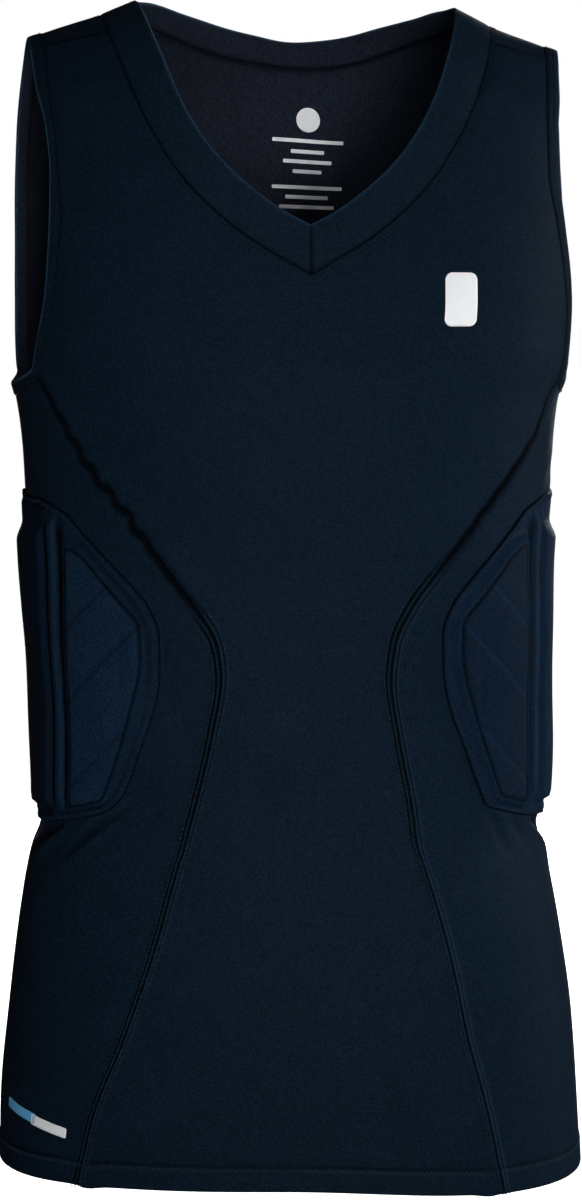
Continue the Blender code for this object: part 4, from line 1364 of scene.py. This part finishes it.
def glowing(name, strength):
    """A pale surface that is white to the camera."""
    material = bpy.data.materials.new(name)
    start = emptied(material)
    surface = start.node(
        "ShaderNodeBsdfPrincipled",
        Base_Color=(0.9, 0.9, 0.9, 1.0),
        Roughness=0.9,
        Emission_Color=(1.0, 1.0, 1.0, 1.0),
        Emission_Strength=strength,
    )
    start.node("ShaderNodeOutputMaterial", Surface=surface)
    return material


def stitch_tree():
    """Stitches along a line: one small ellipsoid each, laid along the line and on the cloth."""
    tree = bpy.data.node_groups.new("Row of stitches", "GeometryNodeTree")
    face = tree.interface
    face.new_socket("Geometry", in_out="INPUT", socket_type="NodeSocketGeometry")
    sizes = {"Spacing": 0.0026, "Stitch length": 0.0022, "Thread radius": 0.00028, "Slant": 0.0}
    for name, default in sizes.items():
        made = face.new_socket(name, in_out="INPUT", socket_type="NodeSocketFloat")
        made.default_value = default
    face.new_socket("Material", in_out="INPUT", socket_type="NodeSocketMaterial")
    face.new_socket("Geometry", in_out="OUTPUT", socket_type="NodeSocketGeometry")
    start = Value(tree)
    outputs = start.node("NodeGroupInput").socket.node.outputs
    given = {socket.name: Value(tree, socket) for socket in outputs if socket.name}
    line = start.node("GeometryNodeMeshToCurve", Mesh=given["Geometry"])
    dots = start.node(
        "GeometryNodeResampleCurve", {"mode": "LENGTH"}, Curve=line, Length=given["Spacing"]
    )
    tangent = start.node("GeometryNodeInputTangent")
    up = start.node("GeometryNodeInputNamedAttribute", {"data_type": "FLOAT_VECTOR"}, Name="up")
    forward = start.node("FunctionNodeAlignRotationToVector", {"axis": "X"}, Vector=tangent)
    upright = start.node(
        "FunctionNodeAlignRotationToVector",
        {"axis": "Z", "pivot_axis": "X"},
        Rotation=forward,
        Vector=up,
    )
    odd = start.math("MODULO", start.node("GeometryNodeInputIndex"), 2.0)
    angle = (odd * 2.0 - 1.0) * given["Slant"]
    slanted = start.node("FunctionNodeAxisAngleToRotation", Axis=(0.0, 0.0, 1.0), Angle=angle)
    turned = start.node(
        "FunctionNodeRotateRotation",
        {"rotation_space": "LOCAL"},
        Rotation=upright,
        Rotate_By=slanted,
    )
    bead = start.node("GeometryNodeMeshUVSphere", Segments=6, Rings=4, Radius=1.0)
    size = start.node(
        "ShaderNodeCombineXYZ",
        X=given["Stitch length"] * 0.5,
        Y=given["Thread radius"],
        Z=given["Thread radius"],
    )
    placed = start.node(
        "GeometryNodeInstanceOnPoints",
        Points=dots,
        Instance=start.node("GeometryNodeTransform", Geometry=bead, Scale=size),
        Rotation=turned,
    )
    real = start.node("GeometryNodeRealizeInstances", Geometry=placed)
    rounded = start.node("GeometryNodeSetShadeSmooth", Geometry=real)
    finished = start.node(
        "GeometryNodeSetMaterial", Geometry=rounded, Material=given["Material"]
    )
    start.node("NodeGroupOutput", Geometry=finished)
    return tree


def stitch_rows(name, rows, sizes, material):
    """One piece of many rows of stitches. Each row is points and the cloth's normals there."""
    points, edges, ups = [], [], []
    for line, normal in rows:
        start = len(points)
        points.extend(tuple(point) for point in line)
        ups.extend(normal)
        edges.extend((start + k, start + k + 1) for k in range(len(line) - 1))
    mesh = bpy.data.meshes.new(name)
    mesh.from_pydata(points, edges, [])
    up = mesh.attributes.new("up", "FLOAT_VECTOR", "POINT")
    up.data.foreach_set("vector", np.asarray(ups, float).ravel())
    piece = bpy.data.objects.new(name, mesh)
    bpy.context.scene.collection.objects.link(piece)
    tree = bpy.data.node_groups.get("Row of stitches") or stitch_tree()
    modifier = piece.modifiers.new("stitches", "NODES")
    modifier.node_group = tree
    values = {**sizes, "Material": material}
    for item in tree.interface.items_tree:
        if item.item_type == "SOCKET" and item.in_out == "INPUT" and item.name in values:
            modifier[item.identifier] = values[item.name]
    graph = bpy.context.evaluated_depsgraph_get()
    made = bpy.data.meshes.new_from_object(piece.evaluated_get(graph), depsgraph=graph)
    piece.modifiers.clear()
    piece.data = made
    made.name = name
    bpy.data.meshes.remove(mesh)
    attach(piece, "root")
    return piece


def on_cloth(line, lift, facing=1):
    """A row for stitches: points a little off the cloth, and the normals of its face there.

    Facing is 1 on the cloth's outer face and -1 on its inner one.
    """
    normal = outward(line)
    points = body(line) + (folds(line) + lift)[:, None] * normal
    return points, facing * normal


def beside(line, offset):
    """A line of places moved sideways along the cloth, to the right of its run."""
    points = body(line)
    normal = outward(line)
    ahead = np.gradient(points, axis=0)
    ahead /= np.linalg.norm(ahead, axis=1, keepdims=True)
    right = np.cross(ahead, normal)
    per_degree = (body(line + np.array([0.1, 0])) - body(line - np.array([0.1, 0]))) / 0.2
    per_metre = (body(line + np.array([0, 0.001])) - body(line - np.array([0, 0.001]))) / 0.002
    around = np.sum(right * per_degree, axis=1) / np.sum(per_degree**2, axis=1)
    down = np.sum(right * per_metre, axis=1) / np.sum(per_metre**2, axis=1)
    return line + offset * np.stack([around, down], axis=-1)


def film(name, middle, half_width, half_height, corner, lift, facing, material, slope=None):
    """A thin printed bar with round corners, laid level on the cloth.

    A bar with a slope is laid by the hem, and its middle is given as its height above the hem.
    """
    columns = max(12, int(2 * half_width / PRINT_STEP))
    x = -half_width * np.cos(np.linspace(0, math.pi, columns + 1))
    past = np.clip((np.abs(x) - half_width + corner) / corner, 0, 0.995)
    reach = half_height - corner * (1 - np.sqrt(1 - past**2))
    rows = max(6, int(2 * half_height / PRINT_STEP))
    y = np.linspace(-1, 1, rows + 1)[:, None] * reach[None, :]
    x = np.broadcast_to(x, y.shape)
    degree = float(degree_length(np.array([middle], float))[0])
    around = middle[0] + x / degree
    down = middle[1] - y
    if slope is not None:
        down = hem_down(around) - middle[1] - y + slope * x
    else:
        spot = body(np.array(middle, float))[0]
        beside_x = body(np.stack([around, np.full_like(around, middle[1])], axis=-1))[..., 0]
        down = down + ridge_height(beside_x) - ridge_height(spot)
    places = np.stack([around, down], axis=-1).reshape(-1, 2)
    normal = outward(places)
    foot = body(places) + (folds(places) + lift)[:, None] * normal
    top = foot + facing * PRINT_DEPTH * normal
    faces = slab_faces(rows + 1, columns + 1)
    uv = np.stack([x, y], axis=-1).reshape(-1, 2)
    points = np.concatenate([top, foot])
    zero = np.zeros(len(points))
    piece = add_mesh(name, points, faces, np.concatenate([uv, uv]), zero, zero, material)
    turn_out(piece)
    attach(piece, "root")
    return piece


class ShirtCloth(bpy.types.PropertyGroup):
    """Colours and thicknesses of the cloth."""

    jersey: FloatVectorProperty(
        name="Jersey",
        description="Colour of the panels' outer face",
        default=(0.0037, 0.0098, 0.0186),
        subtype="COLOR",
        size=3,
    )
    binding: FloatVectorProperty(
        name="Bands",
        description="Colour of the neckband and the armhole bands",
        default=(0.0042, 0.0108, 0.0194),
        subtype="COLOR",
        size=3,
    )
    # The cloth over the pads is paler than the panels: partly its own colour, partly painted light
    # that lifts the pads' angled plates.
    padding: FloatVectorProperty(
        name="Pads",
        description="Colour of the cloth over the pads",
        default=(0.0046, 0.0125, 0.0262),
        subtype="COLOR",
        size=3,
    )
    # The wear side is paler and greyer than the outer face: partly the knit's own colour, partly
    # painted light inside the shirt, where the lamps reach little.
    wear_side: FloatVectorProperty(
        name="Wear side",
        description="Colour of the inner face of the cloth",
        default=(0.0128, 0.0166, 0.0268),
        subtype="COLOR",
        size=3,
    )
    sheen_colour: FloatVectorProperty(
        name="Sheen colour",
        description="Tint of the soft sheen",
        default=(0.35, 0.55, 0.85),
        subtype="COLOR",
        size=3,
    )
    sheen: FloatProperty(
        name="Sheen", description="Strength of the soft sheen", default=0.006, min=0, max=1
    )
    specular: FloatProperty(
        name="Gloss", description="Strength of the gloss", default=0.012, min=0, max=1
    )
    roughness: FloatProperty(
        name="Roughness", description="Roughness of the knit", default=0.55, min=0, max=1
    )
    wale: FloatProperty(
        name="Wale", description="Width of a column of loops", default=0.0010, unit="LENGTH"
    )
    course: FloatProperty(
        name="Course", description="Height of a row of loops", default=0.0008, unit="LENGTH"
    )
    jersey_depth: FloatProperty(
        name="Cloth", description="Thickness of the panels", default=0.0013, unit="LENGTH"
    )
    band_depth: FloatProperty(
        name="Band", description="Thickness of the folded bands", default=0.0022, unit="LENGTH"
    )


class ShirtSewing(bpy.types.PropertyGroup):
    """Thread, stitches and prints."""

    thread: FloatVectorProperty(
        name="Thread",
        description="Colour of the sewing thread",
        default=(0.0045, 0.0090, 0.0155),
        subtype="COLOR",
        size=3,
    )
    light_thread: FloatVectorProperty(
        name="Light thread",
        description="Colour of the thread of the flat seams and the hem",
        default=(0.011, 0.021, 0.033),
        subtype="COLOR",
        size=3,
    )
    pad_thread: FloatVectorProperty(
        name="Pad thread",
        description="Colour of the thread round the pads",
        default=(0.0062, 0.0140, 0.0255),
        subtype="COLOR",
        size=3,
    )
    thread_radius: FloatProperty(
        name="Thread radius", description="Radius of a stitch", default=0.00026, unit="LENGTH"
    )
    stitch: FloatProperty(
        name="Stitch", description="Length of a stitch", default=0.0024, unit="LENGTH"
    )
    white_print: FloatVectorProperty(
        name="White print",
        description="Colour of the white printed bars",
        default=(0.82, 0.84, 0.86),
        subtype="COLOR",
        size=3,
    )
    blue_print: FloatVectorProperty(
        name="Blue print",
        description="Colour of the light blue printed bar",
        default=(0.12, 0.42, 0.72),
        subtype="COLOR",
        size=3,
    )


class ShirtStage(bpy.types.PropertyGroup):
    """The floor, the lights and the camera."""

    camera_distance: FloatProperty(
        name="Camera distance", description="From the shirt's middle", default=1.9, unit="LENGTH"
    )
    camera_height: FloatProperty(
        name="Camera height", description="Below the shoulders", default=-0.15, unit="LENGTH"
    )
    camera_turn: FloatProperty(
        name="Camera turn",
        description="How far the camera stands to the wearer's right",
        default=math.radians(5.0),
        subtype="ANGLE",
    )
    lens: FloatProperty(name="Lens", description="Focal length, in millimetres", default=92.76)
    shift: FloatProperty(name="Shift", description="Vertical shift of the view", default=-0.2533)
    ambient: FloatProperty(
        name="Ambient", description="Light from all round", default=0.05, min=0
    )
    floor_height: FloatProperty(
        name="Floor height", description="Height of the floor", default=-0.90, unit="LENGTH"
    )


def stands_for(piece, node):
    """Attaches a piece to the shirt's root, so it moves with the shirt, and hides the node it
    replaces.
    """
    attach(piece, "root")
    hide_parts(node)


def cut_panel(piece, node, places, faces):
    """Attaches a panel in place of its node, and works out the size and the area of its cut."""
    stands_for(piece, node)
    flat = flattened(places)
    width, length = (flat.max(axis=0) - flat.min(axis=0)) * LAY
    area = min(flat_area(places, faces), width * length)


def cut_band(piece, node):
    """Attaches a band in place of its node."""
    stands_for(piece, node)


class SHIRT_OT_panels(bpy.types.Operator):
    """Make the front, the back and the two side panels"""

    bl_idname = "shirt.panels"
    bl_label = "Panels"

    def execute(self, context):
        cloth = context.scene.shirt_cloth
        jersey = knit("jersey", cloth, cloth.jersey)
        for name, outline in (("front", front_outline()), ("back", back_outline())):
            places, faces, ring = filled(outline)
            piece = panel("panel_" + name, places, faces, ring, cloth.jersey_depth, jersey)
            cut_panel(piece, name, places, faces)
        for name, side in (("side_left", 1), ("side_right", -1)):
            drawn = side_grid(side)
            rows, columns = drawn.shape[:2]
            places = on_side(drawn, side).reshape(-1, 2)
            faces = grid_faces(rows, columns)
            if side < 0:
                faces = [tuple(reversed(face)) for face in faces]
            ring = border(rows, columns)[::side]
            piece = panel("panel_" + name, places, faces, ring, cloth.jersey_depth, jersey)
            cut_panel(piece, name, places, faces)
        return {"FINISHED"}


class SHIRT_OT_bands(bpy.types.Operator):
    """Make the neckband and the two armhole bands"""

    bl_idname = "shirt.bands"
    bl_label = "Bands"

    def execute(self, context):
        cloth = context.scene.shirt_cloth
        binding = knit("binding", cloth, cloth.binding)
        half = np.concatenate([NEAR_V, np.linspace(0.05, 2.0, 95)])
        seam, edge = band_rows(NECK, half)
        seam = np.concatenate([seam, mirrored(seam[-2:0:-1])])
        edge = np.concatenate([edge, mirrored(edge[-2:0:-1])])
        depth = cloth.band_depth
        piece, area, length = band(
            "band_neck", seam, edge, depth, NECK_EDGE_RISE, (0.0016,), True, 2.8, binding
        )
        cut_band(piece, "neckband")
        for name, side in (("armband_left", 1), ("armband_right", -1)):
            seam, edge = band_rows(ARMHOLE, np.linspace(0, 3, 181)[:-1], side)
            piece, area, length = band(
                name.replace("armband", "band_arm"),
                seam, edge, depth, 0.0003, (0.0018, 0.0052), False, 9.0, binding,
            )
            cut_band(piece, name)
        return {"FINISHED"}


class SHIRT_OT_pads(bpy.types.Operator):
    """Make the two moulded side pads"""

    bl_idname = "shirt.pads"
    bl_label = "Pads"

    def execute(self, context):
        cloth = context.scene.shirt_cloth
        padding = knit("padding", cloth, cloth.padding)
        for name, side in (("pad_left", 1), ("pad_right", -1)):
            piece = pad("moulded_" + name, side, padding)
            stands_for(piece, name)
        return {"FINISHED"}


def pad_stitch_line(side, away):
    """A line round the pad, a little way in from its edge."""
    grid = pad_grid(side)
    rows, columns = grid.shape[:2]
    ring = border(rows, columns)
    line = evenly(on_side(grid.reshape(-1, 2)[ring + ring[:1]], side), 0.0015)
    return beside(line, -away * side)


def side_seam_rows(lift):
    """Four rows of cover thread along the flat part of each side seam."""
    rows = []
    for side in (1, -1):
        for behind_side in (False, True):
            line = seam_line(side, behind_side)
            line = behind(line) if behind_side else line
            line = evenly(on_side(line, side), 0.0025)
            line = line[line[:, 1] > (FLAT_FROM[side] + FLAT_TO[side]) / 2]
            for offset in (-OUTER_ROW, -0.0015, 0.0015, OUTER_ROW):
                rows.append(on_cloth(beside(line, offset), lift))
    return rows


def hem_row(lift):
    """The cover stitch round the hem."""
    around = np.linspace(-180.0, 180.0, 500)
    line = np.stack([around, hem_down(around) - HEM_STITCH], axis=-1)
    return on_cloth(line, lift)


def along_band(seam, edge, distance):
    """A line along a band, at a distance from its seam towards its folded edge."""
    width = np.linalg.norm(body(edge) - body(seam), axis=1)[:, None]
    return seam + (edge - seam) * distance / width


def band_stitch_rows(lift):
    """Two rows along the neckband's seam, on each armhole band and on each shoulder seam."""
    rows = []
    seam, edge = band_rows(NECK, np.linspace(0.0, 2.0, 240))
    for side in (1, -1):
        for distance in (-0.0022, -0.0045):
            rows.append(on_cloth(on_side(along_band(seam, edge, distance), side), lift))
        arm_seam, arm_edge = band_rows(ARMHOLE, np.linspace(0, 3, 300), side)
        for distance in (0.0018, 0.0052):
            line = along_band(arm_seam, arm_edge, distance)
            rows.append(on_cloth(line, BAND_RISE + 0.0003 + lift))
        ridge = evenly(on_side(shoulder_seam(60), side), 0.002)
        for offset in (-0.0016, 0.0016):
            rows.append(on_cloth(beside(ridge, offset), lift))
    return rows


def neck_inside_rows(depth, lift):
    """The overlock stitches inside the back of the neck."""
    seam, edge = band_rows(NECK, np.linspace(0.0, 2.0, 240))
    line = along_band(seam, edge, -0.0015)[140:]
    return [on_cloth(on_side(line, side), -depth - lift, -1) for side in (1, -1)]


class SHIRT_OT_stitches(bpy.types.Operator):
    """Sew the seams, the hem, the bands and the pads"""

    bl_idname = "shirt.stitches"
    bl_label = "Stitches"

    def execute(self, context):
        sewing = context.scene.shirt_sewing
        cloth = context.scene.shirt_cloth
        radius = sewing.thread_radius
        straight = {
            "Spacing": sewing.stitch + 0.0004,
            "Stitch length": sewing.stitch,
            "Thread radius": radius,
            "Slant": 0.0,
        }
        zigzag = {
            "Spacing": 0.0013,
            "Stitch length": 0.0036,
            "Thread radius": radius,
            "Slant": math.radians(66),
        }
        cover = {**zigzag, "Stitch length": 0.0030}
        open_zigzag = {**zigzag, "Spacing": 0.0017}
        thread = plain("thread", sewing.thread, 0.5, 0.04, 0.35)
        light_thread = plain("light_thread", sewing.light_thread, 0.5, 0.04, 0.6)
        pad_thread = plain("pad_thread", sewing.pad_thread, 0.5, 0.04, 0.7)
        lift = radius * 0.5
        on_flange = SEAM_GAP + FLANGE_HEIGHT - 0.0003 + lift
        pads = [on_cloth(pad_stitch_line(side, 0.0022), on_flange) for side in (1, -1)]
        inner = neck_inside_rows(cloth.jersey_depth, lift)
        for name, rows, sizes, material, slot in (
            ("seams", side_seam_rows(lift), straight, light_thread, "jersey"),
            ("hem", [hem_row(lift)], cover, light_thread, "jersey"),
            ("bands", band_stitch_rows(lift), straight, thread, "binding"),
            ("neck_inside", inner, zigzag, thread, "binding"),
            ("pads", pads, open_zigzag, pad_thread, "padding"),
        ):
            stitch_rows("stitches_" + name, rows, sizes, material)
        return {"FINISHED"}


class SHIRT_OT_prints(bpy.types.Operator):
    """Lay plain printed bars on the chest, at the hem and inside the back of the neck"""

    bl_idname = "shirt.prints"
    bl_label = "Prints"

    def execute(self, context):
        sewing = context.scene.shirt_sewing
        cloth = context.scene.shirt_cloth
        white = plain("print_white", sewing.white_print, 0.45, 0.3, 0.03)
        blue = plain("print_blue", sewing.blue_print, 0.45, 0.3, 0.03)
        for name, ink, middle, width, height, corner, slope in PRINTS:
            material = white if ink == "white" else blue
            film("print_" + name, middle, width, height, corner, PRINT_LIFT, 1, material, slope)
        inside = -cloth.jersey_depth - PRINT_LIFT
        down, radius = NECK_DISC
        place = (NECK_PRINT_AROUND, down)
        film("print_neck_disc", place, radius, radius, radius - 0.0001, inside, -1, white)
        for number, (down, half) in enumerate(NECK_BARS):
            name = "print_neck_bar_%d" % (number + 1)
            place = (NECK_PRINT_AROUND, down)
            film(name, place, half, 0.0012, 0.0006, inside, -1, white)
        return {"FINISHED"}


class SHIRT_OT_stage(bpy.types.Operator):
    """Set the floor, the lights and the camera"""

    bl_idname = "shirt.stage"
    bl_label = "Stage"

    def execute(self, context):
        scene = context.scene
        stage = scene.shirt_stage
        scene.view_settings.view_transform = "Standard"
        corners = [(-1, -1), (1, -1), (1, 1), (-1, 1)]
        points = [(x * FLOOR_SIZE, y * FLOOR_SIZE, stage.floor_height) for x, y in corners]
        mesh = bpy.data.meshes.new("floor")
        mesh.from_pydata(points, [], [(0, 1, 2, 3)])
        floor = bpy.data.objects.new("floor", mesh)
        scene.collection.objects.link(floor)
        mesh.materials.append(glowing("floor_pale", 1.0))
        floor.visible_diffuse = False
        floor.visible_glossy = False
        self.studio(scene, stage.ambient)
        turn = stage.camera_turn
        away = stage.camera_distance
        data = bpy.data.cameras.new("camera")
        data.lens = stage.lens
        data.shift_y = stage.shift
        camera = bpy.data.objects.new("camera", data)
        camera.location = (-away * math.sin(turn), -away * math.cos(turn), stage.camera_height)
        camera.rotation_euler = (math.pi / 2, 0, -turn)
        scene.collection.objects.link(camera)
        scene.camera = camera
        for light in LIGHTS:
            self.add_light(scene, **dict(zip(LIGHT_COLUMNS, light)))
        return {"FINISHED"}

    def studio(self, scene, ambient):
        """A white surround for the camera that lights the shirt only a little."""
        world = bpy.data.worlds.new("studio")
        scene.world = world
        start = emptied(world)
        seen = start.node("ShaderNodeLightPath")
        white = start.node("ShaderNodeBackground", Color=(1, 1, 1, 1), Strength=1.0)
        dim = start.node("ShaderNodeBackground", Color=(1, 1, 1, 1), Strength=ambient)
        mixed = start.node("ShaderNodeMixShader", _0=seen, _1=dim, _2=white)
        start.node("ShaderNodeOutputWorld", Surface=mixed)

    def add_light(self, scene, name, place, aim, size, power, spread):
        """A square soft light that points at a place."""
        data = bpy.data.lights.new(name, "AREA")
        data.size = size
        data.energy = power
        data.spread = math.radians(spread)
        light = bpy.data.objects.new(name, data)
        light.location = place
        light.rotation_euler = (Vector(aim) - Vector(place)).to_track_quat("-Z", "Y").to_euler()
        scene.collection.objects.link(light)


class SHIRT_PT_panel(bpy.types.Panel):
    """Lists the shirt's sizes, colours and pieces"""

    bl_label = "Padded shirt"
    bl_idname = "SHIRT_PT_panel"
    bl_space_type = "VIEW_3D"
    bl_region_type = "UI"
    bl_category = "Shirt"

    def draw(self, context):
        for name in GROUPS:
            group = getattr(context.scene, name)
            box = self.layout.box()
            for key in type(group).__annotations__:
                box.prop(group, key)
        for operator in OPERATORS:
            self.layout.operator(operator.bl_idname)


GROUPS = {"shirt_cloth": ShirtCloth, "shirt_sewing": ShirtSewing, "shirt_stage": ShirtStage}
OPERATORS = (
    SHIRT_OT_stage,
    SHIRT_OT_panels,
    SHIRT_OT_bands,
    SHIRT_OT_pads,
    SHIRT_OT_stitches,
    SHIRT_OT_prints,
)
CLASSES = (*GROUPS.values(), *OPERATORS, SHIRT_PT_panel)


def register():
    """Adds the shirt's properties, operators and panel to Blender."""
    for made in CLASSES:
        bpy.utils.register_class(made)
    for name, group in GROUPS.items():
        setattr(bpy.types.Scene, name, PointerProperty(type=group))


def unregister():
    """Takes them out again."""
    for name in GROUPS:
        delattr(bpy.types.Scene, name)
    for made in reversed(CLASSES):
        bpy.utils.unregister_class(made)


def main():
    """Makes the stage and every piece."""
    register()
    for operator in OPERATORS:
        family, name = operator.bl_idname.split(".")
        getattr(getattr(bpy.ops, family), name)()


if __name__ == "__main__":
    main()
